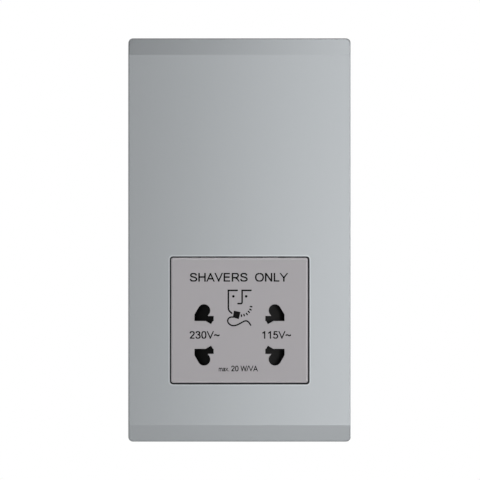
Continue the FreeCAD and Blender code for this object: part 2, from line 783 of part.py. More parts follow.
def make_bobbin():
    tube_in, tube_out, cheek, _ = coil_sizes()
    middle = (ZERO, core_middle_deep)
    low = core_low + yoke + s.bobbin_fit
    high = low + coil_window - s.bobbin_fit * 2
    body = new_body("bobbin")
    grow(body, "tube", "top", low, high, [middle_rectangle(*middle, *tube_out)])
    split = coil_split()
    for name, level in (("low", low), ("split", split), ("high", high - s.bobbin_wall)):
        grow(body, name + "_cheek", "top", level, level + s.bobbin_wall, [middle_rectangle(*middle, *cheek)])
    cut(body, "bore", "top", low, high, [middle_rectangle(*middle, *tube_in)])
    return body


def coil_split():
    """Level of the cheek that keeps the mains winding apart from the outlets' winding."""
    return core_low + yoke + s.bobbin_fit + (coil_window - s.bobbin_fit * 2) * s.primary_share


def make_windings():
    _, tube_out, _, turns = coil_sizes()
    middle = (ZERO, core_middle_deep)
    bottom = core_low + yoke + s.bobbin_fit + s.bobbin_wall
    top = core_low + yoke + coil_window - s.bobbin_fit - s.bobbin_wall
    split = coil_split()
    windings = []
    for label, low, high in (("primary_winding", bottom, split),
                             ("secondary_winding", split + s.bobbin_wall, top)):
        body = new_body(label)
        grow(body, "turns", "top", low, high, [middle_rectangle(*middle, *turns)])
        soften(body, "PartDesign::Chamfer", "corners", "Size", s.coil_bevel, lambda edge: along(edge, Z_AXIS))
        cut(body, "bore", "top", low, high, [middle_rectangle(*middle, *tube_out)])
        windings.append(body)
    return windings


def make_thermal_cutout():
    """A bimetal cut-out in its case, taped to the underside of the core."""
    body = new_body("thermal_cutout")
    half = s.cutout_length / 2
    high = core_low
    low = high - s.cutout_height
    front = core_middle_deep - s.cutout_depth / 2
    case = rectangle(-half, half, front, front + s.cutout_depth)
    grow(body, "case", "top", low, high, [case])

    def low_edges(edge):
        return along(edge, X_AXIS) and near(edge.CenterOfMass.z, low)

    soften(body, "PartDesign::Chamfer", "case_bevel", "Size", s.cutout_height / 4, low_edges)
    return body


# Rear housing

def housing_profile(half_z, front, step, deep, shelf):
    return [(-front, -half_z), (step, -half_z), (step, shelf),
            (deep, shelf), (deep, half_z), (-front, half_z)]


def make_rear_housing():
    body = new_body("rear_housing")
    wall = s.housing_wall
    outer = housing_profile(housing_z, frame_rear, s.housing_step, housing_deep, housing_step_z)
    grow(body, "shell", "side", -housing_x, housing_x, [outer])
    fillet(body, "corners", s.housing_round, upright_corners(housing_x, ZERO, housing_z))
    inner = housing_profile(housing_inner_z, frame_rear, s.housing_step - wall, housing_deep - wall,
                            housing_step_z + wall)
    cut(body, "hollow", "side", -housing_inner_x, housing_inner_x, [inner])
    for row, deep in ((-1, s.housing_step), (1, housing_deep)):
        posts = [middle_rectangle(x, row * post_z, s.post_half, s.post_half) for x in mirrored_pair(post_x)]
        name = "upper" if row > 0 else "lower"
        grow(body, name + "_posts", "front", -deep, -s.boss_deep, posts)
        well = s.screw_head + s.part_fit
        wells = [middle_rectangle(x, row * post_z, well, well) for x in mirrored_pair(post_x)]
        cut(body, name + "_wells", "front", -deep, -screw_seat, wells)
        holes = [eight_sides(x, row * post_z, s.screw_radius + s.part_fit) for x in mirrored_pair(post_x)]
        cut(body, name + "_holes", "front", -screw_seat, -s.boss_deep, holes)
    grow(body, "core_stops", "front", wall - housing_deep, -core_back, core_seats())
    grip = s.flange_width / 2 - carrier_x - s.seat_fit * 2
    stop_x = s.flange_width / 2 - s.seat_fit - grip / 2
    stops = [middle_rectangle(x, outlet_z + row * s.well_middle, grip / 2, wall / 2)
             for x in mirrored_pair(stop_x) for row in (-1, 1)]
    grow(body, "flange_stops", "front", wall - s.housing_step, frame_rear - s.flange_thick, stops)
    vents = [middle_rectangle(core_middle_deep, core_low + yoke + s.vent_pitch * number,
                              s.vent_length / 2, s.vent_width / 2) for number in range(VENTS)]
    cut(body, "right_vents", "side", housing_inner_x, housing_x, vents)
    cut(body, "left_vents", "side", -housing_x, -housing_inner_x, vents)
    cut(body, "tail_slots", "front", -s.housing_step, wall - s.housing_step, terminal_tails(s.part_fit))
    cut(body, "hook_slots", "front", -s.housing_step, wall - s.housing_step, block_hooks(s.part_fit))
    return body


# Mains terminals

def terminal_xs():
    return [s.terminal_pitch * step for step in (-1, 0, 1)]


def terminal_tails(clearance):
    half_x, half_z = s.tail_width / 2 + clearance, s.tail_thick / 2 + clearance
    return [middle_rectangle(x, terminal_z, half_x, half_z) for x in terminal_xs()]


def block_half():
    return s.terminal_pitch + s.terminal_width / 2 + s.part_fit + s.block_wall


def block_hooks(clearance):
    """Two snap legs in line with the block's end walls."""
    half_x, half_z = s.block_wall / 2 + clearance, s.block_hook_width / 2 + clearance
    return [middle_rectangle(x, terminal_z, half_x, half_z)
            for x in mirrored_pair(block_half() - s.block_wall / 2)]


def make_terminal_block():
    body = new_body("terminal_block")
    half_z = s.terminal_tall / 2 + s.part_fit + s.block_wall
    rear = terminal_front + s.terminal_deep + s.screw_head_thick - s.part_fit
    grow(body, "block", "front", -rear, -s.housing_step,
         [middle_rectangle(ZERO, terminal_z, block_half(), half_z)])
    barb_low = s.housing_wall - s.housing_step + s.part_fit
    barb_high = barb_low + s.barb_thick
    grow(body, "hooks", "front", -s.housing_step, barb_high, block_hooks(ZERO))
    barbs = [rectangle(*sorted_pair(side, block_half(), block_half() + s.barb_reach),
                       terminal_z - s.block_hook_width / 2, terminal_z + s.block_hook_width / 2)
             for side in (-1, 1)]
    grow(body, "barbs", "front", barb_low, barb_high, barbs)
    room_x, room_z = s.terminal_width / 2 + s.part_fit, s.terminal_tall / 2 + s.part_fit
    rooms = [middle_rectangle(x, terminal_z, room_x, room_z) for x in terminal_xs()]
    cut(body, "rooms", "front", -rear, -terminal_front, rooms)
    cut(body, "tail_slots", "front", -terminal_front, -s.housing_step, terminal_tails(s.part_fit))
    ports = [middle_rectangle(x, wire_deep, s.wire_port / 2, s.wire_port / 2) for x in terminal_xs()]
    cut(body, "wire_ports", "top", terminal_z - half_z, terminal_z - half_z + s.block_wall, ports)
    return body


def make_terminal(label, x):
    """A brass tunnel: the wire enters from below and the screw presses on it from behind."""
    body = new_body(label)
    rear = terminal_front + s.terminal_deep
    half_x, half_z = s.terminal_width / 2, s.terminal_tall / 2
    grow(body, "tunnel", "front", -rear, -terminal_front, [middle_rectangle(x, terminal_z, half_x, half_z)])
    tail = middle_rectangle(x, terminal_z, s.tail_width / 2, s.tail_thick / 2)
    grow(body, "tail", "front", -terminal_front, s.tail_length - s.housing_step + s.housing_wall, [tail])
    cut(body, "wire_bore", "top", terminal_z - half_z, terminal_z + half_z, [(x, wire_deep, s.terminal_bore)])
    cut(body, "screw_hole", "front", -rear, -wire_deep, [(x, terminal_z, s.screw_radius + s.thread_fit)])
    return body


# Screws

def make_screw(name, x, head_deep, z, length):
    """A screw that faces the back: its head stands behind head_deep, its shank runs to the front."""
    head = rod(name + "_head", x, head_deep, z, s.screw_head, s.screw_head_thick)
    shank = rod(name + "_shank", x, head_deep - length, z, s.screw_radius, length)
    return joined(name, [head, shank])


def make_screws():
    corners = [(x, z) for x in mirrored_pair(post_x) for z in mirrored_pair(post_z)]
    housing = [make_screw(f"housing_screw_{i}", x, screw_seat, z, screw_seat)
               for i, (x, z) in enumerate(corners)]
    rear = terminal_front + s.terminal_deep
    bite = s.terminal_deep - s.terminal_bore_deep - s.terminal_bore - s.part_fit
    clamps = [make_screw(f"terminal_screw_{i}", x, rear, terminal_z, bite)
              for i, x in enumerate(terminal_xs())]
    return [group("housing_screws", housing), group("terminal_screws", clamps)]


def make_all():
    parts = [make_cover_plate(), make_socket_face(), make_mounting_frame(), make_shutter()]
    parts += [make_spring("shutter_spring_left", -1), make_spring("shutter_spring_right", 1)]
    parts += [make_contact_carrier()]
    for voltage, side in (("230", -1), ("115", 1)):
        for place_name, row in (("lower", -1), ("upper", 1)):
            parts.append(make_contact(f"contact_{voltage}_{place_name}", side, row))
    parts += make_switch()
    parts += make_core()
    parts += [make_bobbin()]
    parts += make_windings()
    parts += [make_thermal_cutout(), make_rear_housing(), make_terminal_block()]
    for label, x in zip(("terminal_live", "terminal_earth", "terminal_neutral"), terminal_xs()):
        parts.append(make_terminal(label, x))
    return parts + make_screws()


def write_parts(parts):
    doc.recompute()
    for thing in doc.Objects:
        if "Invalid" in thing.State or "Error" in thing.State:
            raise RuntimeError(f"{thing.Label} failed: {thing.State}")
    for thing in parts:
        if thing.Shape.isNull() or not thing.Shape.isValid():
            raise RuntimeError(f"{thing.Label} has no valid shape")
    os.makedirs("parts", exist_ok=True)
    for thing in parts:
        thing.Shape.exportStep(f"parts/{thing.Label}.step")
        print(f"{thing.Label}: {len(thing.Shape.Solids)} solids, {thing.Shape.Volume:.1f} mm3")


write_parts(make_all())
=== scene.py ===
import math
from typing import NamedTuple

import bmesh
import bpy
from bpy.props import FloatProperty, FloatVectorProperty, IntProperty, PointerProperty
from mathutils import Matrix, Vector


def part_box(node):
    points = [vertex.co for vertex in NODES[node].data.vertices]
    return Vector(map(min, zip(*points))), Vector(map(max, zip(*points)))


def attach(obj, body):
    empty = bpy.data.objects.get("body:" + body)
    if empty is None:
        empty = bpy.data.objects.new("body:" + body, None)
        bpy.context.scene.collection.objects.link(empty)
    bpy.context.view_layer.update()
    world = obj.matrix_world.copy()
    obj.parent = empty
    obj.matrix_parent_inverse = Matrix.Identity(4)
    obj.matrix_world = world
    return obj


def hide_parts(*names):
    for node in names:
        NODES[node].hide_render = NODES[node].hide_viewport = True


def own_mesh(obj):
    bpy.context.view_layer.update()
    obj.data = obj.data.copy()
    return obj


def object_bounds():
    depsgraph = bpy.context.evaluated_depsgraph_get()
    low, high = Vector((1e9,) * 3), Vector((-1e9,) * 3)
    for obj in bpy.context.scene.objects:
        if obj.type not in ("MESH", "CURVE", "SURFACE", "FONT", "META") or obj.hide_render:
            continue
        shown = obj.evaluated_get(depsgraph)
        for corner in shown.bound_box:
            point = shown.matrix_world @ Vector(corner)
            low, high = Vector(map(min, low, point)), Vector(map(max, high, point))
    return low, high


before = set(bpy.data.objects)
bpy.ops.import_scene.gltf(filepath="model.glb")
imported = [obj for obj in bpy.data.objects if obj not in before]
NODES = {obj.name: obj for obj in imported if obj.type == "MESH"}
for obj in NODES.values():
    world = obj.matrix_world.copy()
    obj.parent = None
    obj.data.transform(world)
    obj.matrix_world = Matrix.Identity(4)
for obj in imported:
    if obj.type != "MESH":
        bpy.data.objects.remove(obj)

bl_info = {
    "name": "Shaver socket looks",
    "version": (1, 0, 0),
    "blender": (4, 5, 0),
    "location": "View3D > Sidebar > Shaver socket",
    "description": "Finishes, printing and fine parts of an upright shaver socket",
    "category": "Object",
}

MM = 0.001
CAD_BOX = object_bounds()


def middle_of(node):
    low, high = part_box(node)
    return (low + high) / 2


class Outline(NamedTuple):
    """A rounded rectangle seen from the front."""

    middle: Vector
    half_x: float
    half_z: float
    corner: float

    def straight(self):
        """From the middle to where the corners start; it reaches all the way into the wall."""
        return Vector((self.half_x - self.corner, 1.0, self.half_z - self.corner))

    def grown(self, by, corner, shift=(0, 0, 0)):
        return Outline(self.middle + Vector(shift), self.half_x + by, self.half_z + by, corner)


# Places that follow from the solids: the face, its window, and the housing's wall over the terminals
FACE_LOW, FACE_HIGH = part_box("socket_face")
FACE_ABOVE_OUTLETS = 5.65 * MM
FACE_CORNER = 0.9 * MM
FACE_MIDDLE = Vector((0.0, FACE_LOW.y, middle_of("shutter").z + FACE_ABOVE_OUTLETS))
FACE = Outline(FACE_MIDDLE, FACE_HIGH.x, FACE_MIDDLE.z - FACE_LOW.z, FACE_CORNER)
WINDOW_GAP = 0.5 * MM
WINDOW_CORNER = 1.2 * MM
LOWER_WALL = 20.0 * MM


def linear(hex_colour):
    """The linear colour of an sRGB hex value."""
    values = [int(hex_colour[i:i + 2], 16) / 255 for i in (1, 3, 5)]
    return tuple(v / 12.92 if v <= 0.04045 else ((v + 0.055) / 1.055) ** 2.4 for v in values)


# Settings

def length(name, description, default_mm):
    return FloatProperty(name=name, description=description, default=default_mm * MM, unit="LENGTH",
                         precision=5)


def colour(name, description, hex_colour):
    return FloatVectorProperty(name=name, description=description, default=linear(hex_colour),
                               subtype="COLOR", min=0.0, max=1.0)


def share(name, description, default):
    return FloatProperty(name=name, description=description, default=default, min=0.0, max=1.0,
                         subtype="FACTOR")


def power(name, description, watts):
    return FloatProperty(name=name, description=description, default=watts, min=0.0, unit="POWER")


class SHAVER_PG_colours(bpy.types.PropertyGroup):
    """Colours of the finishes."""

    lacquer: colour("Lacquer", "Silver lacquer of the cover plate", "#808385")
    face: colour("Face", "Matt grey moulding of the socket face", "#A09DA0")
    ink: colour("Ink", "Pad-printed words and sign", "#030303")
    mark: colour("Marks", "Printed letters of the terminals", "#D9D9D5")
    shutter: colour("Shutter", "Black moulding behind the apertures", "#040404")
    housing: colour("Housing", "Charcoal moulding of the frame and the housing", "#2B2D30")
    block: colour("Block", "Ivory moulding of the terminal block and the coil former", "#DAD5C6")
    brass: colour("Brass", "Contacts and terminals", "#C9A45C")
    zinc: colour("Zinc", "Plated screws", "#C3C6C4")
    steel: colour("Steel", "Spring wire", "#A7A9AB")
    laminations: colour("Laminations", "Varnished core stampings", "#4A4744")
    copper: colour("Copper", "Enamelled winding wire", "#9A4A22")


class SHAVER_PG_sizes(bpy.types.PropertyGroup):
    """Sizes of what is printed, wound and cut."""

    print_thick: length("Print", "Thickness of the printed ink", 0.03)
    sign_line: length("Sign line", "Width of the sign's lines", 0.6)
    screw_pitch: length("Screw pitch", "Thread pitch of the housing screws", 1.3)
    clamp_pitch: length("Clamp pitch", "Thread pitch of the terminal screws", 0.7)
    thread_depth: length("Thread depth", "Height of the screw threads", 0.32)
    spring_turns: IntProperty(name="Spring turns", description="Turns of each centring spring",
                              default=13, min=3, max=40)
    mains_wire: length("Mains wire", "Drawn width of the mains winding's wire", 0.62)
    outlet_wire: length("Outlet wire", "Drawn width of the outlets' winding's wire", 0.8)


class SHAVER_PG_stage(bpy.types.PropertyGroup):
    """Camera, light and floor."""

    view_width: length("View width", "Width of the picture at the plate's front", 185.53)
    view_distance: length("View distance", "Distance from the plate's front to the camera", 2000.0)
    view_right: length("View right", "How far the camera stands to the right of the plate's middle", 0.2)
    floor_drop: length("Floor drop", "How far the floor lies below the plate's middle", 450.0)
    floor_glow: share("Floor glow", "Light of its own that keeps the floor pale", 0.63)
    fill: share("Fill", "Even light from all round", 0.375)
    ceiling: share("Ceiling", "Brightness of the studio's ceiling in reflections", 0.42)
    key: power("Key", "Strip softbox in front, a little to the right", 0.96)
    bounce: power("Bounce", "Card below the plate, in front", 0.066)
    side: power("Side", "Card at the right, level with the outlets", 0.25)
    high: power("High", "Card above the plate, in front", 0.22)
    rim: power("Rim", "Softbox level with the plate's right edge", 1.7)
    rim_strip: power("Rim strip", "Narrow strip in front, far to the right", 0.22)
    rear: power("Rear", "Softbox behind", 2.2)


# Meshes

def new_piece(name, mesh, material, body="unit", stands_for=()):
    """Link a mesh as a named piece that rides on a body."""
    mesh.name = name
    obj = bpy.data.objects.new(name, mesh)
    bpy.context.scene.collection.objects.link(obj)
    mesh.materials.clear()
    mesh.materials.append(material)
    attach(obj, body)
    if stands_for:
        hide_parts(*stands_for)
    return obj


def dress(node, material):
    """Give a solid its finish."""
    mesh = NODES[node].data
    mesh.materials.clear()
    mesh.materials.append(material)


def mesh_from(bm, name, smooth_angle=None):
    bmesh.ops.recalc_face_normals(bm, faces=bm.faces[:])
    mesh = bpy.data.meshes.new(name)
    bm.to_mesh(mesh)
    bm.free()
    if smooth_angle is not None:
        mesh.shade_smooth()
        mesh.set_sharp_from_angle(angle=math.radians(smooth_angle))
    return mesh


def loft(bm, rings, closed_path=False):
    """Join rings of points with faces, and close both ends unless the rings run round in a loop."""
    rows = [[bm.verts.new(point) for point in ring] for ring in rings]
    following = rows[1:] + rows[:1] if closed_path else rows[1:]
    for here, after in zip(rows, following):
        for i, corner in enumerate(here):
            j = (i + 1) % len(here)
            bm.faces.new((corner, here[j], after[j], after[i]))
    if not closed_path:
        bm.faces.new(rows[0])
        bm.faces.new(rows[-1])


def evaluated_mesh(obj):
    """The mesh of an object with its modifiers applied; the object itself goes."""
    graph = bpy.context.evaluated_depsgraph_get()
    mesh = bpy.data.meshes.new_from_object(obj.evaluated_get(graph))
    bpy.data.objects.remove(obj)
    return mesh


def smooth_line(points, steps=8):
    """Points of a soft curve through the given ones."""
    ends = [points[0] * 2 - points[1], *points, points[-1] * 2 - points[-2]]
    line = []
    for a, b, c, d in zip(ends, ends[1:], ends[2:], ends[3:]):
        for step in range(steps):
            t = step / steps
            line.append((b * 2 + (c - a) * t + (a * 2 - b * 5 + c * 4 - d) * t * t
                         + (b * 3 - a - c * 3 + d) * t ** 3) / 2)
    return [*line, points[-1]]


def with_direction(line):
    """Each point of a line with the line's direction there."""
    for i, point in enumerate(line):
        yield point, (line[min(i + 1, len(line) - 1)] - line[max(i - 1, 0)]).normalized()


def turns_of_circle(sides):
    return [2 * math.pi * k / sides for k in range(sides)]


# Finishes

# Between these lie most values of a noise pattern
NOISE_LOW, NOISE_HIGH = 0.3, 0.7
# Share of an edge line's width, from its edge, at which it has its full strength
LINE_FULL = 0.6
# Length of one band of the wave pattern at a scale of 1
BAND_LENGTH = math.pi / 10
ORIGIN = (0.0, 0.0, 0.0)
WHITE = (1.0, 1.0, 1.0, 1.0)
METAL = {"Metallic": 1.0}


def add_node(tree, kind, inputs=None, **settings):
    """Add a node with its settings; an input is a value, or another node's output to link."""
    node = tree.nodes.new(kind)
    for name, value in settings.items():
        setattr(node, name, value)
    for name, value in (inputs or {}).items():
        socket = next((s for s in node.inputs if s.identifier == name), None) or node.inputs[name]
        if isinstance(value, bpy.types.NodeSocket):
            tree.links.new(value, socket)
        else:
            socket.default_value = value
    return node


def find_node(tree, kind):
    return next(n for n in tree.nodes if n.type == kind)


def per_mm(size_mm):
    """Pattern scale at which one feature has this size."""
    return 1 / (size_mm * MM)


def shade(colour_value, factor):
    return (*[min(1.0, c * factor) for c in colour_value], 1.0)


def grained(name, colour_value, grain_mm, spread, roughness, depth_mm, principled=None):
    """A finish whose colour, gloss and relief all follow one grain of a real size."""
    material = bpy.data.materials.new(name)
    material.use_nodes = True
    tree = material.node_tree
    tree.nodes.clear()
    place = add_node(tree, "ShaderNodeTexCoord").outputs["Object"]
    grain = add_node(tree, "ShaderNodeTexNoise",
                     {"Vector": place, "Scale": per_mm(grain_mm), "Detail": 3.0, "Roughness": 0.6})
    height = grain.outputs["Fac"]
    tint = add_node(tree, "ShaderNodeMix",
                    {"Factor_Float": height, "A_Color": shade(colour_value, 1 - spread),
                     "B_Color": shade(colour_value, 1 + spread)}, data_type="RGBA")
    gloss = add_node(tree, "ShaderNodeMapRange",
                     {"Value": height, "From Min": NOISE_LOW, "From Max": NOISE_HIGH,
                      "To Min": roughness[0], "To Max": roughness[1]})
    relief = add_node(tree, "ShaderNodeBump", {"Height": height, "Distance": depth_mm * MM, "Strength": 1.0})
    shader = add_node(tree, "ShaderNodeBsdfPrincipled",
                      {"Base Color": tint.outputs[2], "Roughness": gloss.outputs["Result"],
                       "Normal": relief.outputs["Normal"], **(principled or {})})
    add_node(tree, "ShaderNodeOutputMaterial", {"Surface": shader.outputs["BSDF"]})
    return material


def multiply_colour(tree, pattern):
    """Multiply a finish's colour by a pattern."""
    base = find_node(tree, "BSDF_PRINCIPLED").inputs["Base Color"]
    product = add_node(tree, "ShaderNodeMix",
                       {"Factor_Float": 1.0, "A_Color": base.links[0].from_socket, "B_Color": pattern},
                       data_type="RGBA", blend_type="MULTIPLY")
    tree.links.new(product.outputs[2], base)


def edge_line(material, outline, wide_mm, gain, outside=False):
    """Change a finish's brightness along the edge of a rounded rectangle, inside or outside it."""
    tree = material.node_tree
    # How far a point lies past the outline's straight part, which is the corner's radius on the edge
    reach = find_node(tree, "TEX_COORD").outputs["Object"]
    for operation, other in (("SUBTRACT", outline.middle), ("ABSOLUTE", ORIGIN),
                             ("SUBTRACT", outline.straight()), ("MAXIMUM", ORIGIN), ("LENGTH", ORIGIN)):
        step = add_node(tree, "ShaderNodeVectorMath", {"Vector": reach, "Vector_001": other},
                        operation=operation)
        reach = step.outputs["Value" if operation == "LENGTH" else "Vector"]
    wide = wide_mm * MM if outside else -wide_mm * MM
    line = add_node(tree, "ShaderNodeMapRange",
                    {"Value": reach, "From Min": outline.corner + wide,
                     "From Max": outline.corner + wide * LINE_FULL})
    change = add_node(tree, "ShaderNodeMix",
                      {"Factor_Float": line.outputs["Result"], "A_Color": WHITE,
                       "B_Color": (gain, gain, gain, 1.0)}, data_type="RGBA")
    multiply_colour(tree, change.outputs[2])


def layered(name, colour_value, sheet_mm, axis, dark, roughness, depth_mm, principled):
    """A finish of stacked sheets: a fine dark line between each two across one axis."""
    patch_mm, patch_spread, gap_share = sheet_mm * 4, 0.12, 0.35
    material = grained(name, colour_value, patch_mm, patch_spread, roughness, depth_mm / 4, principled)
    tree = material.node_tree
    sheets = add_node(tree, "ShaderNodeTexWave",
                      {"Vector": find_node(tree, "TEX_COORD").outputs["Object"],
                       "Scale": per_mm(sheet_mm) * BAND_LENGTH, "Distortion": 0.0}, bands_direction=axis)
    edge = add_node(tree, "ShaderNodeMapRange",
                    {"Value": sheets.outputs["Fac"], "From Min": 0.0, "From Max": gap_share,
                     "To Min": dark, "To Max": 1.0}).outputs["Result"]
    multiply_colour(tree, edge)
    normal = find_node(tree, "BSDF_PRINCIPLED").inputs["Normal"]
    ridges = add_node(tree, "ShaderNodeBump",
                      {"Height": edge, "Distance": depth_mm * MM, "Strength": 1.0,
                       "Normal": normal.links[0].from_socket})
    tree.links.new(ridges.outputs["Normal"], normal)
    return material


def colours():
    return bpy.context.scene.shaver_colours


def sizes():
    return bpy.context.scene.shaver_sizes


# Operators

class SHAVER_OT_cover_plate(bpy.types.Operator):
    """Spray the cover plate with silver lacquer"""

    bl_idname = "shaver.cover_plate"
    bl_label = "Cover plate"
    bl_options = {"REGISTER", "UNDO"}

    def execute(self, context):
        # Lacquer with metal flakes, sprayed on moulded ABS: a soft mirror that brightens towards a lamp,
        # with a sparkle of flakes, drawn coarser than their true 0.05 mm so that it shows.
        lacquer = grained("satin_silver_lacquer_on_ABS", colours().lacquer, grain_mm=0.4, spread=0.035,
                          roughness=(0.35, 0.40), depth_mm=0.0006, principled=METAL)
        # A painted highlight: a paler line round the window. A painted shade: the window's very edge
        # darkened, for the shadow in the gap, most of all at the right and below.
        window = FACE.grown(WINDOW_GAP, WINDOW_CORNER)
        edge_line(lacquer, window, wide_mm=0.7, gain=1.2, outside=True)
        # Painted shade in the gap: a dark line along the window's edge, wider at the right and below.
        painted_shade_edge = FACE.grown(WINDOW_GAP, WINDOW_CORNER, shift=(0.1 * MM, 0.0, -0.05 * MM))
        edge_line(lacquer, painted_shade_edge, wide_mm=0.06, gain=0.06, outside=True)
        dress("cover_plate", lacquer)
        return {"FINISHED"}


class SHAVER_OT_socket_face(bpy.types.Operator):
    """Finish the socket face, the shutter and the contact carrier"""

    bl_idname = "shaver.socket_face"
    bl_label = "Socket face"
    bl_options = {"REGISTER", "UNDO"}

    def execute(self, context):
        # Polycarbonate from a spark-eroded mould: even and matt, with a grit of a quarter of a millimetre,
        # and a painted highlight: paler along its bevelled edge.
        moulding = grained("matt_moulded_polycarbonate", colours().face, grain_mm=0.25, spread=0.02,
                           roughness=(0.62, 0.72), depth_mm=0.004)
        edge_line(moulding, FACE, wide_mm=0.8, gain=1.5)
        dress("socket_face", moulding)
        # Carbon-black acetal: very dark, with a waxy sheen that fades down the shutter's ramps.
        acetal = grained("black_moulded_acetal", colours().shutter, grain_mm=0.8, spread=0.1,
                         roughness=(0.3, 0.38), depth_mm=0.003, principled={"Specular IOR Level": 0.07})
        dress("shutter", acetal)
        dress("contact_carrier", acetal)
        return {"FINISHED"}


class Word(NamedTuple):
    """Printed letters and their place, in millimetres from the face's middle; weight is a share of cap."""

    name: str
    letters: str
    left: float
    right: float
    base: float
    cap: float
    weight: float = 0.172


WORDS = (
    Word("print_shavers", "SHAVERS", -19.25, 3.2, 14.96, 3.36),
    Word("print_only", "ONLY", 5.98, 18.82, 14.96, 3.36),
    Word("print_230_volt", "230V~", -19.3, -7.55, -7.1, 2.93),
    Word("print_115_volt", "115V~", 8.75, 20.05, -7.1, 2.93),
    Word("print_max", "max.", -8.0, -4.05, -19.7, 1.84, 0.17),
    Word("print_20_watt", "20 W/VA", -3.2, 7.15, -19.7, 2.17),
)


class Glyph(NamedTuple):
    """A letter of cap height 1: its advance, and the middle lines of its straight and its curved strokes."""

    advance: float
    straight: tuple = ()
    curved: tuple = ()


GLYPHS = {
    "S": Glyph(0.93, (), (((0.79, 0.70), (0.70, 0.87), (0.47, 0.936), (0.24, 0.88), (0.15, 0.73),
               (0.25, 0.59), (0.48, 0.52), (0.72, 0.43), (0.82, 0.27), (0.71, 0.12), (0.46, 0.064),
               (0.21, 0.12), (0.11, 0.31)),)),
    "H": Glyph(1.0, (((0.17, 0), (0.17, 1)), ((0.84, 0), (0.84, 1)), ((0.17, 0.53), (0.84, 0.53)))),
    "A": Glyph(0.93, (((0.05, -0.04), (0.465, 0.92), (0.88, -0.04)), ((0.2, 0.33), (0.73, 0.33)))),
    "V": Glyph(0.93, (((0.05, 1.04), (0.465, 0.08), (0.88, 1.04)),)),
    "E": Glyph(0.93, (((0.84, 0.064), (0.18, 0.064), (0.18, 0.936), (0.82, 0.936)), ((0.18, 0.52),
               (0.78, 0.52)))),
    "R": Glyph(1.0, (((0.17, 0), (0.17, 1)), ((0.5, 0.46), (0.72, 0.3), (0.93, -0.02))), (((0.17, 0.936),
               (0.48, 0.936), (0.65, 0.93), (0.79, 0.84), (0.82, 0.7), (0.77, 0.56), (0.64, 0.47),
               (0.48, 0.455), (0.17, 0.455)),)),
    "O": Glyph(1.08, (), (((0.54, 0.95), (0.23, 0.83), (0.11, 0.5), (0.23, 0.17), (0.54, 0.05),
               (0.85, 0.17), (0.97, 0.5), (0.85, 0.83), (0.54, 0.95)),)),
    "N": Glyph(1.0, (((0.17, 0), (0.17, 1)), ((0.84, 0), (0.84, 1)), ((0.19, 0.96), (0.82, 0.04)))),
    "L": Glyph(0.78, (((0.17, 1), (0.17, 0.064), (0.74, 0.064)),)),
    "Y": Glyph(0.93, (((0.04, 1.04), (0.465, 0.45), (0.89, 1.04)), ((0.465, 0), (0.465, 0.45)))),
    "0": Glyph(0.78, (), (((0.385, 0.94), (0.19, 0.84), (0.12, 0.5), (0.19, 0.16), (0.385, 0.06),
               (0.58, 0.16), (0.65, 0.5), (0.58, 0.84), (0.385, 0.94)),)),
    "1": Glyph(0.78, (((0.47, 0), (0.47, 1)),), (((0.47, 0.95), (0.36, 0.82), (0.16, 0.72)),)),
    "2": Glyph(0.78, (((0.08, 0.064), (0.7, 0.064)),), (((0.12, 0.7), (0.19, 0.88), (0.38, 0.94),
               (0.59, 0.86), (0.64, 0.7), (0.54, 0.5), (0.32, 0.29), (0.15, 0.08)),)),
    "3": Glyph(0.78, (), (((0.11, 0.74), (0.2, 0.89), (0.37, 0.94), (0.56, 0.87), (0.61, 0.74),
               (0.53, 0.59), (0.32, 0.535)), ((0.32, 0.535), (0.55, 0.48), (0.66, 0.3), (0.57, 0.12),
               (0.37, 0.06), (0.19, 0.12), (0.1, 0.27)))),
    "5": Glyph(0.78, (((0.65, 0.936), (0.23, 0.936), (0.155, 0.49)),), (((0.155, 0.49), (0.27, 0.58),
               (0.4, 0.605), (0.59, 0.52), (0.66, 0.34), (0.58, 0.14), (0.37, 0.06), (0.19, 0.12),
               (0.1, 0.26)),)),
    "~": Glyph(0.82, (), (((0.07, 0.38), (0.15, 0.49), (0.28, 0.51), (0.52, 0.41), (0.66, 0.43),
               (0.75, 0.54)),)),
    "W": Glyph(1.22, (((0.04, 1.04), (0.31, 0.08), (0.61, 0.92), (0.91, 0.08), (1.18, 1.04)),)),
    "/": Glyph(0.39, (((0.0, -0.04), (0.39, 1.04)),)),
    "m": Glyph(1.16, (((0.14, 0), (0.14, 0.72)),), (((0.14, 0.45), (0.22, 0.62), (0.37, 0.665), (0.53, 0.6),
               (0.58, 0.44), (0.58, 0.2), (0.58, 0)), ((0.58, 0.45), (0.67, 0.62), (0.82, 0.665),
               (0.98, 0.6), (1.03, 0.44), (1.03, 0.2), (1.03, 0)))),
    "a": Glyph(0.78, (), (((0.12, 0.53), (0.22, 0.64), (0.39, 0.67), (0.56, 0.61), (0.6, 0.48), (0.61, 0.2),
               (0.67, 0)), ((0.6, 0.42), (0.38, 0.37), (0.18, 0.31), (0.1, 0.19), (0.18, 0.07),
               (0.33, 0.05), (0.52, 0.13), (0.6, 0.28)))),
    "x": Glyph(0.7, (((0.04, 0.72), (0.66, 0)), ((0.04, 0), (0.66, 0.72)))),
    ".": Glyph(0.39, (((0.19, 0), (0.19, 0.13)),)),
    " ": Glyph(0.39),
    "earth": Glyph(1.0, (((0.5, 1), (0.5, 0.52)), ((0.1, 0.52), (0.9, 0.52)), ((0.24, 0.3), (0.76, 0.3)),
               ((0.38, 0.08), (0.62, 0.08)))),
}


# How much higher the next stroke of a letter lies where two cross, in millimetres
INK_LAYER = 0.002
# Points on each stretch of a letter's curves, and on a stroke's round end
LETTER_STEPS = 5
ROUND_END_STEPS = 8
# A sharper corner's mitre is cut short: the least cosine of half its turn
LEAST_MITRE = 0.5


def ink_material():
    # Pad-printing ink: thin, black and quite matt, with pinholes of a tenth of a millimetre.
    found = bpy.data.materials.get("black_pad_printing_ink")
    return found or grained("black_pad_printing_ink", colours().ink, grain_mm=0.1, spread=0.2,
                            roughness=(0.6, 0.7), depth_mm=0.002, principled={"Specular IOR Level": 0.1})


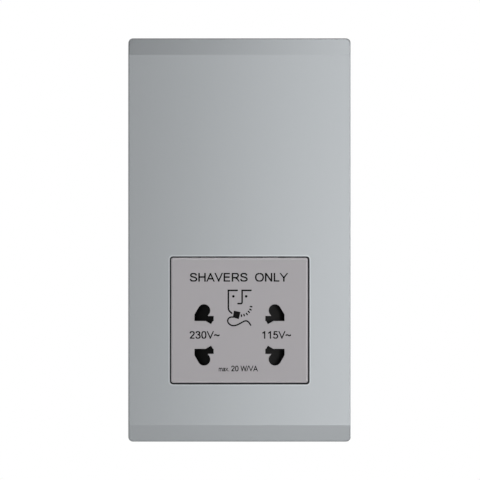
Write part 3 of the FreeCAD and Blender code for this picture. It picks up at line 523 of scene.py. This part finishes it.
def vectors(points):
    return [Vector(p) for p in points]


def stroke(bm, line, width, round_ends=True, lift=0.0):
    """A flat ribbon along a line, as faces in the plane of the face or lifted off it."""
    half = width / 2
    left, right = [], []
    for i, point in enumerate(line):
        before, after = line[max(i - 1, 0)], line[min(i + 1, len(line) - 1)]
        first = (point - before).normalized() if i else (after - point).normalized()
        second = (after - point).normalized() if i < len(line) - 1 else first
        run = (first + second).normalized()
        side = Vector((-run.y, run.x)) * half / max(run.dot(first), LEAST_MITRE)
        left.append(point + side)
        right.append(point - side)

    def cap(point, away):
        start = math.atan2(away.y, away.x)
        turns = [start + math.pi / 2 - math.pi * k / ROUND_END_STEPS for k in range(1, ROUND_END_STEPS)]
        return [point + Vector((math.cos(t), math.sin(t))) * half for t in turns]

    def placed(points):
        return [bm.verts.new((p.x, -lift, p.y)) for p in points]

    rows = placed(left), placed(right)
    for i in range(len(line) - 1):
        bm.faces.new((rows[0][i], rows[0][i + 1], rows[1][i + 1], rows[1][i]))
    if round_ends:
        bm.faces.new((rows[1][0], *placed(cap(line[0], line[0] - line[1])), rows[0][0]))
        bm.faces.new((rows[0][-1], *placed(cap(line[-1], line[-1] - line[-2])), rows[1][-1]))


def dot(bm, middle, radius, sides=24):
    bm.faces.new([bm.verts.new((middle[0] + radius * math.cos(t), 0.0, middle[1] + radius * math.sin(t)))
                  for t in turns_of_circle(sides)])


def write(letters, left, right, base, cap, weight):
    """Letters as flat faces, in millimetres, that fill the width from left to right."""
    bm = bmesh.new()
    pen = 0.0
    for glyph in (GLYPHS[letter] for letter in letters):
        lines = []
        for corners in map(vectors, glyph.straight):
            for i, (start, end) in enumerate(zip(corners, corners[1:])):
                overlap = (end - start).normalized() * weight / 2
                start = start - overlap if i else start
                end = end + overlap if i < len(corners) - 2 else end
                lines.append([start, end])
        lines += [smooth_line(vectors(points), LETTER_STEPS) for points in glyph.curved]
        for layer, line in enumerate(lines):
            moved = [p + Vector((pen, 0)) for p in line]
            stroke(bm, moved, weight, round_ends=False, lift=layer * INK_LAYER)
        pen += glyph.advance
    wide = [v.co.x for v in bm.verts]
    low, across = min(wide), max(wide) - min(wide)
    for v in bm.verts:
        v.co.x = left + (v.co.x - low) / across * (right - left)
        v.co.z = base + min(max(v.co.z, 0.0), 1.0) * cap
    return bm


def raised(bm, name, place, thick, turn=0.0):
    """Thicken flat faces, drawn in millimetres, into print that faces the room or is turned about Z."""
    made = bmesh.ops.extrude_face_region(bm, geom=bm.faces[:])
    for vert in (v for v in made["geom"] if isinstance(v, bmesh.types.BMVert)):
        vert.co.y -= thick / MM
    bm.transform(Matrix.Translation(place) @ Matrix.Rotation(turn, 4, "Z") @ Matrix.Scale(MM, 4))
    return mesh_from(bm, name)


class SHAVER_OT_lettering(bpy.types.Operator):
    """Print the words of use and the voltages on the face"""

    bl_idname = "shaver.lettering"
    bl_label = "Lettering"
    bl_options = {"REGISTER", "UNDO"}

    def execute(self, context):
        ink = ink_material()
        for word in WORDS:
            flat = write(word.letters, word.left, word.right, word.base, word.cap, word.weight)
            new_piece(word.name, raised(flat, word.name, FACE_MIDDLE, sizes().print_thick), ink)
        return {"FINISHED"}


class SHAVER_OT_shaver_sign(bpy.types.Operator):
    """Print the common line sign for shavers on the face"""

    bl_idname = "shaver.shaver_sign"
    bl_label = "Shaver sign"
    bl_options = {"REGISTER", "UNDO"}

    def execute(self, context):
        # Points in millimetres from the face's middle, and the whole sign a little to the right of it
        line = sizes().sign_line / MM
        thin = line * 0.9
        brow, eye_height, eye_radius = 11.57, 9.28, 0.5
        tick_half = 0.27
        right = Vector((0.25 * MM, 0.0, 0.0))
        bm = bmesh.new()
        cheek = smooth_line(vectors([(-4.55, 4.88), (-4.38, 4.0), (-3.9, 3.33), (-3.19, 2.75)]))
        stroke(bm, vectors([(-1.12, brow), (-4.55, brow)]) + cheek, line)
        nose = smooth_line(vectors([(0.77, 7.1), (0.68, 6.7), (0.35, 6.47), (-0.85, 6.47)]), steps=4)
        stroke(bm, vectors([(4.2, brow), (0.77, brow)]) + nose, line)
        for eye in (-2.62, 2.35):
            dot(bm, (eye, eye_height), eye_radius)
        cord = smooth_line(vectors([(-2.5, 1.27), (-3.73, 1.21), (-4.55, 0.62), (-4.79, -0.39),
                                    (-4.32, -1.28), (-3.37, -1.93), (-2.31, -2.04), (-1.12, -1.75),
                                    (0.18, -1.1), (1.36, -0.45), (2.37, -0.21), (3.25, -0.68),
                                    (4.09, -1.87)]))
        stroke(bm, cord, thin)
        shaver = vectors([(-2.4, 3.75), (0.14, 3.2), (-0.52, 0.45), (-2.82, 1.15)])
        bm.faces.new([bm.verts.new((p.x, 0.0, p.y)) for p in shaver])
        stubble_centre = Vector((0.3, 6.1))
        for tick in vectors([(0.51, 1.8), (1.54, 2.04), (2.6, 2.45), (3.35, 3.28), (3.99, 4.15),
                             (4.24, 5.29)]):
            away = (tick - stubble_centre).normalized() * tick_half
            stroke(bm, [tick - away, tick + away], thin)
        sign = raised(bm, "print_shaver_sign", FACE_MIDDLE + right, sizes().print_thick)
        new_piece("print_shaver_sign", sign, ink_material())
        return {"FINISHED"}


# Screws, as their solids are: the head's height and radius, and the shank's radius
SCREW_HEAD = 1.8 * MM
SCREW_HEAD_RADIUS = 2.6 * MM
SCREW_RADIUS = 1.5 * MM
# Shares of the shank's radius: at the tip, and by how much the first turns are thinner
TIP_RADIUS, LEAD_IN_TAPER = 0.35, 0.3
# Turns over which the thread starts, points along each turn, and how steep the flanks are
LEAD_IN_TURNS, THREAD_STEPS, FLANK = 1.5, 7, 3.2
# Shares of the head: the chamfer below, and where its round crown starts
CHAMFER_RADIUS, CHAMFER_HIGH = 0.97, 0.08
CROWN_RADIUS, CROWN_HIGH, CROWN_STEPS = 0.62, 0.45, 6


def ring(radius, y, sides, wave=None):
    """Points round the Y axis; the wave adds to the radius."""
    turns = turns_of_circle(sides)
    radii = [radius + (wave(t) if wave else 0.0) for t in turns]
    return [Vector((r * math.cos(t), y, r * math.sin(t))) for r, t in zip(radii, turns)]


def screw_mesh(shank, pitch, depth, cutters, sides=28):
    """A screw along +Y with its head's seat at y = 0: a threaded shank, a rounded head and a cut drive."""
    rings = [ring(SCREW_RADIUS * TIP_RADIUS, -shank, sides)]
    steps = max(2, int(shank / pitch * THREAD_STEPS))
    for step in range(1, steps + 1):
        y = -shank + shank * step / steps
        fade = min(1.0, (shank + y) / (pitch * LEAD_IN_TURNS))

        def wave(turn, y=y, fade=fade):
            phase = (y / pitch - turn / (2 * math.pi)) % 1.0
            crest = max(0.0, 1 - abs(phase - 0.5) * FLANK)
            return -depth * (1.0 - crest) - (1 - fade) * SCREW_RADIUS * LEAD_IN_TAPER

        rings.append(ring(SCREW_RADIUS, y, sides, wave))
    rings.append(ring(SCREW_HEAD_RADIUS * CHAMFER_RADIUS, 0.0, sides))
    rings.append(ring(SCREW_HEAD_RADIUS, SCREW_HEAD * CHAMFER_HIGH, sides))
    for k in range(CROWN_STEPS + 1):
        turn = math.pi / 2 * k / CROWN_STEPS
        out = CROWN_RADIUS + (1 - CROWN_RADIUS) * math.cos(turn)
        up = CROWN_HIGH + (1 - CROWN_HIGH) * math.sin(turn)
        rings.append(ring(SCREW_HEAD_RADIUS * out, SCREW_HEAD * up, sides))
    bm = bmesh.new()
    loft(bm, rings)
    mesh = mesh_from(bm, "screw")
    for cutter in cutters:
        mesh = carve(mesh, cutter)
    return mesh


def tapered_bar(half_long, half_wide, low, high, taper, turn):
    """A bar that narrows downwards, turned about Y, for cutting a screw's drive."""
    corners = ((-1, -1), (1, -1), (1, 1), (-1, 1))
    bm = bmesh.new()
    loft(bm, [[Vector((x * half_long * k, y, z * half_wide * k)) for x, z in corners]
              for y, k in ((low, taper), (high, 1.0))])
    bmesh.ops.rotate(bm, verts=bm.verts[:], matrix=Matrix.Rotation(turn, 3, "Y"))
    return mesh_from(bm, "drive")


def carve(mesh, cutter_mesh):
    """The mesh with the cutter taken out of it."""
    pair = [bpy.data.objects.new("carve", m) for m in (mesh, cutter_mesh)]
    for obj in pair:
        bpy.context.scene.collection.objects.link(obj)
    cut = pair[0].modifiers.new("drive", "BOOLEAN")
    cut.object = pair[1]
    cut.operation = "DIFFERENCE"
    cut.solver = "EXACT"
    carved = evaluated_mesh(pair[0])
    bpy.data.objects.remove(pair[1])
    return carved


def repeated(mesh, places, turns):
    """One mesh with a copy of the given one at each place."""
    bm = bmesh.new()
    for place, turn in zip(places, turns):
        copy = mesh.copy()
        copy.transform(Matrix.Translation(place) @ Matrix.Rotation(turn, 4, "Y"))
        bm.from_mesh(copy)
        bpy.data.meshes.remove(copy)
    return mesh_from(bm, "screws", smooth_angle=32)


class SHAVER_OT_screws(bpy.types.Operator):
    """Make the housing screws with a cross drive and the terminal screws with a slot"""

    bl_idname = "shaver.screws"
    bl_label = "Screws"
    bl_options = {"REGISTER", "UNDO"}

    def execute(self, context):
        # Zinc on steel: bright with a slightly blue cast, dulled in patches of a few tenths of a millimetre.
        zinc = grained("zinc_plated_steel", colours().zinc, grain_mm=0.6, spread=0.06,
                       roughness=(0.28, 0.42), depth_mm=0.002, principled=METAL)
        settings = sizes()
        cross = [tapered_bar(half_long=1.7 * MM, half_wide=0.42 * MM, low=0.35 * MM, high=2.0 * MM,
                             taper=0.55, turn=turn) for turn in (math.pi / 4, math.pi * 3 / 4)]
        low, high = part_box("housing_screws")
        mesh = screw_mesh(high.y - low.y - SCREW_HEAD, settings.screw_pitch, settings.thread_depth, cross)
        corners = [Vector((x, high.y - SCREW_HEAD, z))
                   for x in (low.x + SCREW_HEAD_RADIUS, high.x - SCREW_HEAD_RADIUS)
                   for z in (low.z + SCREW_HEAD_RADIUS, high.z - SCREW_HEAD_RADIUS)]
        driven_to = (0.2, 1.1, 0.7, 1.9)
        new_piece("housing_screws_cross", repeated(mesh, corners, driven_to), zinc,
                  stands_for=("housing_screws",))
        slot = [tapered_bar(half_long=2.9 * MM, half_wide=0.38 * MM, low=0.9 * MM, high=2.2 * MM,
                            taper=1.0, turn=0.0)]
        low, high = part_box("terminal_screws")
        mesh = screw_mesh(high.y - low.y - SCREW_HEAD, settings.clamp_pitch, settings.thread_depth / 2, slot)
        middle = (low + high) / 2
        row = [Vector((x, high.y - SCREW_HEAD, middle.z))
               for x in (low.x + SCREW_HEAD_RADIUS, middle.x, high.x - SCREW_HEAD_RADIUS)]
        driven_to = (0.5, 1.4, 2.3)
        new_piece("terminal_screws_slotted", repeated(mesh, row, driven_to), zinc,
                  stands_for=("terminal_screws",))
        return {"FINISHED"}


def tube(bm, line, radius, sides=10):
    """A round wire along a line."""
    rings = []
    for point, run in with_direction(line):
        side = run.cross(Vector((1, 0, 0))).normalized()
        up = side.cross(run)
        rings.append([point + (side * math.cos(t) + up * math.sin(t)) * radius
                      for t in turns_of_circle(sides)])
    loft(bm, rings)


# Radius of the spring wire, points on each turn, and how much closer the turns lie in places
SPRING_WIRE, SPRING_STEPS, SPRING_UNEVEN = 0.17 * MM, 18, 0.03


class SHAVER_OT_springs(bpy.types.Operator):
    """Wind the two springs that centre the shutter"""

    bl_idname = "shaver.springs"
    bl_label = "Springs"
    bl_options = {"REGISTER", "UNDO"}

    def execute(self, context):
        # Drawn spring wire: bright, with the die's fine lines.
        steel = grained("bright_drawn_spring_wire", colours().steel, grain_mm=0.15, spread=0.08,
                        roughness=(0.22, 0.34), depth_mm=0.002, principled=METAL)
        turns = sizes().spring_turns
        steps = turns * SPRING_STEPS
        for side in ("left", "right"):
            node = "shutter_spring_" + side
            low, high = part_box(node)
            radius = (high.z - low.z) / 2 - SPRING_WIRE
            middle = (low + high) / 2
            start, end = low.x + SPRING_WIRE, high.x - SPRING_WIRE
            line = []
            for along in (step / steps for step in range(steps + 1)):
                eased = along + SPRING_UNEVEN * math.sin(4 * math.pi * along) * 4 * along * (1 - along)
                turn = 2 * math.pi * turns * along
                line.append(Vector((start + (end - start) * eased, middle.y + radius * math.cos(turn),
                                    middle.z + radius * math.sin(turn))))
            bm = bmesh.new()
            tube(bm, line, SPRING_WIRE)
            spring = new_piece(node + "_wire", mesh_from(bm, node, smooth_angle=60), steel,
                               stands_for=(node,))
            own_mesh(spring)
        return {"FINISHED"}


class SHAVER_OT_switch(bpy.types.Operator):
    """Finish the switch and its contacts, and bend its springy leaf"""

    bl_idname = "shaver.switch"
    bl_label = "Switch and contacts"
    bl_options = {"REGISTER", "UNDO"}

    def execute(self, context):
        # Rolled phosphor bronze and brass strip: warm, with fine rolling lines.
        brass = grained("rolled_brass_strip", colours().brass, grain_mm=0.5, spread=0.07,
                        roughness=(0.24, 0.36), depth_mm=0.002, principled=METAL)
        for node in ("contact_230_lower", "contact_230_upper", "contact_115_lower", "contact_115_upper",
                     "switch_contact"):
            dress(node, brass)
        low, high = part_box("switch_leaf")
        thick = 0.3 * MM
        # From the leaf's middle: the end of its flat part, its knee, and the edge of its round tip
        flat, knee, tip = 4.5 * MM, 3.0 * MM, 0.9 * MM
        knee_dip, tip_rise = 0.15 * MM, 0.2 * MM
        top, bottom = high.z - thick / 2, low.z + thick / 2
        bend = [(flat, top), (knee, top - knee_dip), (tip, bottom + tip_rise)]
        line = smooth_line(vectors([(low.x, top), *[(-x, z) for x, z in bend], (0.0, bottom),
                                    *reversed(bend), (high.x, top)]))
        bm = bmesh.new()
        rings = []
        for point, run in with_direction(line):
            side = Vector((-run.y, run.x)) * thick / 2
            upper, lower = point + side, point - side
            rings.append([Vector((p.x, y, p.y)) for p, y in
                          ((upper, low.y), (lower, low.y), (lower, high.y), (upper, high.y))])
        loft(bm, rings)
        leaf = new_piece("switch_leaf_strip", mesh_from(bm, "switch_leaf", smooth_angle=40), brass,
                         stands_for=("switch_leaf",))
        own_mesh(leaf)
        return {"FINISHED"}


# Corners of the coils and of the former inside them, and points across each turn of wire
COIL_CORNER, FORMER_CORNER, WIRE_STEPS = 3.4 * MM, 0.4 * MM, 6
# The former's tube: half its width, and its wall round the core
FORMER_HALF, FORMER_WALL = 10.2 * MM, 1.2 * MM


def rounded_loop(half_x, half_y, radius, steps=6):
    """Corners of a rounded rectangle, in order."""
    points = []
    for quarter, (sx, sy) in enumerate(((1, 1), (-1, 1), (-1, -1), (1, -1))):
        for k in range(steps + 1):
            turn = math.pi / 2 * (quarter + k / steps)
            points.append(Vector((sx * (half_x - radius) + radius * math.cos(turn),
                                  sy * (half_y - radius) + radius * math.sin(turn))))
    return points


def wound_mesh(name, node, former_y, wire):
    """A coil: rows of round wire outside, a plain wall where it lies on its former."""
    low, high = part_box(node)
    middle = (low + high) / 2
    outer = rounded_loop(high.x - middle.x, high.y - middle.y, COIL_CORNER)
    inner = rounded_loop(FORMER_HALF, former_y, FORMER_CORNER)
    turns = max(1, round((high.z - low.z) / wire))
    step = (high.z - low.z) / turns
    bm = bmesh.new()
    rings = []
    for far, close in zip(outer, inner):
        inward = (close - far).normalized()
        profile = [(close, low.z)]
        for turn in range(turns):
            for k in range(WIRE_STEPS):
                angle = math.pi * (k + 0.5) / WIRE_STEPS
                profile.append((far + inward * step / 2 * (1 - math.sin(angle)),
                                low.z + step * (turn + 0.5 - 0.5 * math.cos(angle))))
        profile.append((close, high.z))
        rings.append([Vector((middle.x + p.x, middle.y + p.y, z)) for p, z in profile])
    loft(bm, rings, closed_path=True)
    return mesh_from(bm, name, smooth_angle=50)


class SHAVER_OT_transformer(bpy.types.Operator):
    """Wind the two coils, and finish the core, the former and the cut-out"""

    bl_idname = "shaver.transformer"
    bl_label = "Transformer"
    bl_options = {"REGISTER", "UNDO"}

    def execute(self, context):
        settings = sizes()
        # Enamelled copper: red-brown and glossy, each turn a bright line.
        copper = grained("enamelled_copper_wire", colours().copper, grain_mm=1.2, spread=0.12,
                         roughness=(0.2, 0.32), depth_mm=0.002,
                         principled={"Metallic": 0.85, "Coat Weight": 0.4})
        core_low, core_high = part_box("core_e_stack")
        former_y = (core_high.y - core_low.y) / 2 + FORMER_WALL
        for name, node, wire in (("primary_turns", "primary_winding", settings.mains_wire),
                                 ("secondary_turns", "secondary_winding", settings.outlet_wire)):
            new_piece(name, wound_mesh(name, node, former_y, wire), copper,
                      stands_for=(node,))
        # Silicon steel stampings under varnish: dark edges at half a millimetre.
        core = layered("varnished_core_stampings", colours().laminations, sheet_mm=0.5, axis="Y", dark=0.45,
                       roughness=(0.42, 0.58), depth_mm=0.05, principled={"Metallic": 0.6})
        dress("core_e_stack", core)
        dress("core_i_stack", core)
        # Glass-filled nylon: ivory, with a silky flow of fibres.
        nylon = grained("ivory_moulded_nylon", colours().block, grain_mm=1.5, spread=0.03,
                        roughness=(0.42, 0.52), depth_mm=0.004)
        for node in ("bobbin", "switch_base", "thermal_cutout", "terminal_block"):
            dress(node, nylon)
        return {"FINISHED"}


class SHAVER_OT_housing(bpy.types.Operator):
    """Finish the mounting frame and the rear housing"""

    bl_idname = "shaver.housing"
    bl_label = "Housing"
    bl_options = {"REGISTER", "UNDO"}

    def execute(self, context):
        # Flame-retardant polycarbonate blend, moulded with an eroded grain: charcoal, with soft highlights.
        charcoal = grained("charcoal_moulded_polycarbonate", colours().housing, grain_mm=0.5, spread=0.08,
                           roughness=(0.46, 0.58), depth_mm=0.012)
        dress("rear_housing", charcoal)
        dress("mounting_frame", charcoal)
        return {"FINISHED"}


TERMINAL_LETTERS = {"terminal_live": "L", "terminal_earth": ("earth",), "terminal_neutral": "N"}
# Half the width of those letters and their height, in millimetres, and the strokes' share of the height
LETTER_HALF, LETTER_CAP, LETTER_WEIGHT = 1.3, 3.2, 0.14
LETTER_ABOVE_BLOCK = 2.2 * MM


class SHAVER_OT_terminals(bpy.types.Operator):
    """Finish the brass terminals and print their letters above them"""

    bl_idname = "shaver.terminals"
    bl_label = "Terminals"
    bl_options = {"REGISTER", "UNDO"}

    def execute(self, context):
        # Extruded brass, sawn and drilled: yellow, with a satin drag of the saw.
        brass = grained("sawn_brass", colours().brass, grain_mm=0.35, spread=0.08, roughness=(0.26, 0.4),
                        depth_mm=0.004, principled=METAL)
        # White pad-printing ink: chalky, with pinholes of a tenth of a millimetre.
        white = grained("white_pad_printing_ink", colours().mark, grain_mm=0.1, spread=0.06,
                        roughness=(0.6, 0.7), depth_mm=0.002)
        block_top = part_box("terminal_block")[1].z
        for node, letter in TERMINAL_LETTERS.items():
            dress(node, brass)
            name = node + "_mark"
            place = Vector((middle_of(node).x, LOWER_WALL, block_top + LETTER_ABOVE_BLOCK))
            flat = write(letter, -LETTER_HALF, LETTER_HALF, 0.0, LETTER_CAP, LETTER_WEIGHT)
            mark = raised(flat, name, place, sizes().print_thick, turn=math.pi)
            new_piece(name, mark, white)
        return {"FINISHED"}


class Lamp(NamedTuple):
    """A softbox or a card: its setting, place, aim and size in metres, and its lean in degrees."""

    power: str
    place: tuple
    aim: tuple
    wide: float
    tall: float
    lean: float = 0.0


PLATE_FRONT = CAD_BOX[0].y
LAMPS = {
    "key_softbox": Lamp("key", (0.075, -0.434, 0.15), (0.0, PLATE_FRONT, 0.15), 0.11, 0.9, lean=-4.0),
    "bounce_card": Lamp("bounce", (0.0, -0.42, -0.33), (0.0, PLATE_FRONT, -0.07), 0.5, 0.12),
    "side_card": Lamp("side", (0.2, -0.42, -0.05), (0.0, PLATE_FRONT, -0.05), 0.1, 0.2),
    "high_card": Lamp("high", (0.11, -0.30, 0.32), (0.02, PLATE_FRONT, 0.072), 0.12, 0.12),
    "rim_softbox": Lamp("rim", (0.5, 0.03, 0.0), (0.0, 0.03, 0.0), 0.36, 0.5),
    "rim_strip": Lamp("rim_strip", (0.45, -0.4, 0.0), (0.0, PLATE_FRONT, 0.0), 0.06, 0.5),
    "rear_softbox": Lamp("rear", (-0.5, 0.7, 0.5), (0.0, PLATE_FRONT, 0.0), 0.5, 0.5),
}
# How high a mirrored direction points where the studio's ceiling starts to darken, and where it is darkest
CEILING_LOW, CEILING_HIGH = 0.087, 0.55
# The floor: half its side, and how far its middle lies behind the wall's plane, in metres
FLOOR_HALF, FLOOR_BEHIND = 3.0, 0.25


def mirror_rays(tree, path):
    """1 for light that comes off gloss or through glass."""
    return add_node(tree, "ShaderNodeMath",
                    {"Value": path["Is Glossy Ray"], "Value_001": path["Is Transmission Ray"]},
                    operation="MAXIMUM").outputs[0]


class SHAVER_OT_stage(bpy.types.Operator):
    """Set the camera, the lamps, the world and the floor"""

    bl_idname = "shaver.stage"
    bl_label = "Stage"
    bl_options = {"REGISTER", "UNDO"}

    def execute(self, context):
        scene = context.scene
        scene.view_settings.view_transform = "Standard"
        stage = scene.shaver_stage
        self.make_camera(scene, stage)
        self.make_world(scene, stage)
        self.make_lamps(scene, stage)
        self.make_floor(scene, stage)
        return {"FINISHED"}

    def make_camera(self, scene, stage):
        camera = bpy.data.cameras.new("photo_view")
        camera.sensor_width = 36.0
        camera.lens = camera.sensor_width * stage.view_distance / stage.view_width
        obj = bpy.data.objects.new("photo_view", camera)
        obj.location = (stage.view_right, PLATE_FRONT - stage.view_distance, 0.0)
        obj.rotation_euler = (math.pi / 2, 0.0, 0.0)
        scene.collection.objects.link(obj)
        scene.camera = obj

    def make_world(self, scene, stage):
        world = bpy.data.worlds.new("white_studio")
        world.use_nodes = True
        tree = world.node_tree
        tree.nodes.clear()
        path = add_node(tree, "ShaderNodeLightPath").outputs
        seen = add_node(tree, "ShaderNodeMath",
                        {"Value": path["Is Camera Ray"], "Value_001": mirror_rays(tree, path)},
                        operation="MAXIMUM")
        # Plain white for the camera; metal mirrors white walls under a ceiling that gets darker overhead.
        towards = add_node(tree, "ShaderNodeSeparateXYZ",
                           {"Vector": add_node(tree, "ShaderNodeTexCoord").outputs["Generated"]})
        overhead = add_node(tree, "ShaderNodeMapRange",
                            {"Value": towards.outputs["Z"], "From Min": CEILING_LOW, "From Max": CEILING_HIGH,
                             "To Min": 1.0, "To Max": stage.ceiling}, interpolation_type="SMOOTHSTEP")
        bright = add_node(tree, "ShaderNodeMath",
                          {"Value": path["Is Camera Ray"], "Value_001": overhead.outputs["Result"]},
                          operation="MAXIMUM")
        fill = add_node(tree, "ShaderNodeBackground", {"Color": WHITE, "Strength": stage.fill})
        walls = add_node(tree, "ShaderNodeBackground", {"Color": WHITE, "Strength": bright.outputs[0]})
        mix = add_node(tree, "ShaderNodeMixShader",
                       {"Fac": seen.outputs[0], "Shader": fill.outputs[0], "Shader_001": walls.outputs[0]})
        add_node(tree, "ShaderNodeOutputWorld", {"Surface": mix.outputs[0]})
        scene.world = world

    def make_lamps(self, scene, stage):
        for name, lamp in LAMPS.items():
            light = bpy.data.lights.new(name, "AREA")
            light.shape = "RECTANGLE"
            light.size = lamp.wide
            light.size_y = lamp.tall
            light.energy = getattr(stage, lamp.power)
            obj = bpy.data.objects.new(name, light)
            obj.location = lamp.place
            facing = (Vector(lamp.aim) - Vector(lamp.place)).to_track_quat("-Z", "Y").to_matrix()
            obj.rotation_euler = (facing @ Matrix.Rotation(math.radians(lamp.lean), 3, "Z")).to_euler()
            scene.collection.objects.link(obj)

    def make_floor(self, scene, stage):
        bm = bmesh.new()
        bmesh.ops.create_grid(bm, x_segments=2, y_segments=2, size=FLOOR_HALF)
        bmesh.ops.translate(bm, verts=bm.verts[:], vec=(0.0, FLOOR_BEHIND, -stage.floor_drop))
        mesh = mesh_from(bm, "floor")
        # The paper lies face up.
        mesh.flip_normals()
        # Seamless studio paper: matt, lit up to a pale white that still takes a shadow, and plain white
        # where metal mirrors it.
        paper = grained("white_studio_paper", linear("#F0F0EE"), grain_mm=2.0, spread=0.01,
                        roughness=(0.85, 0.95), depth_mm=0.01)
        tree = paper.node_tree
        output = find_node(tree, "OUTPUT_MATERIAL")
        path = add_node(tree, "ShaderNodeLightPath").outputs
        glow = add_node(tree, "ShaderNodeMath",
                        {"Value": path["Is Camera Ray"], "Value_001": stage.floor_glow}, operation="MULTIPLY")
        lit = add_node(tree, "ShaderNodeEmission", {"Color": WHITE, "Strength": glow.outputs[0]})
        pale = add_node(tree, "ShaderNodeAddShader",
                        {"Shader": output.inputs["Surface"].links[0].from_socket,
                         "Shader_001": lit.outputs[0]})
        white = add_node(tree, "ShaderNodeEmission", {"Color": WHITE, "Strength": 1.0})
        mix = add_node(tree, "ShaderNodeMixShader",
                       {"Fac": mirror_rays(tree, path), "Shader": pale.outputs[0],
                        "Shader_001": white.outputs[0]})
        # The paper's underside is left out of the picture.
        underside = add_node(tree, "ShaderNodeNewGeometry").outputs["Backfacing"]
        sided = add_node(tree, "ShaderNodeMixShader",
                         {"Fac": underside, "Shader": mix.outputs[0],
                          "Shader_001": add_node(tree, "ShaderNodeBsdfTransparent").outputs["BSDF"]})
        tree.links.new(sided.outputs[0], output.inputs["Surface"])
        mesh.materials.append(paper)
        floor = bpy.data.objects.new("floor", mesh)
        scene.collection.objects.link(floor)


class SHAVER_PT_looks(bpy.types.Panel):
    """Lists the pieces and their settings."""

    bl_idname = "SHAVER_PT_looks"
    bl_label = "Shaver socket"
    bl_space_type = "VIEW_3D"
    bl_region_type = "UI"
    bl_category = "Shaver socket"

    def draw(self, context):
        layout = self.layout
        for group in (getattr(context.scene, name) for name in GROUPS):
            box = layout.box()
            for name in group.__annotations__:
                box.prop(group, name)
        for operator in OPERATORS:
            layout.operator(operator.bl_idname)


GROUPS = {"shaver_colours": SHAVER_PG_colours, "shaver_sizes": SHAVER_PG_sizes,
          "shaver_stage": SHAVER_PG_stage}
OPERATORS = (SHAVER_OT_cover_plate, SHAVER_OT_socket_face, SHAVER_OT_lettering, SHAVER_OT_shaver_sign,
             SHAVER_OT_screws, SHAVER_OT_springs, SHAVER_OT_switch, SHAVER_OT_transformer,
             SHAVER_OT_housing, SHAVER_OT_terminals, SHAVER_OT_stage)
CLASSES = (*GROUPS.values(), *OPERATORS, SHAVER_PT_looks)


def register():
    for cls in CLASSES:
        bpy.utils.register_class(cls)
    for name, group in GROUPS.items():
        setattr(bpy.types.Scene, name, PointerProperty(type=group))


def unregister():
    for name in GROUPS:
        delattr(bpy.types.Scene, name)
    for cls in reversed(CLASSES):
        bpy.utils.unregister_class(cls)


def main():
    register()
    for operator in OPERATORS:
        family, name = operator.bl_idname.split(".")
        getattr(getattr(bpy.ops, family), name)()


if __name__ == "__main__":
    main()
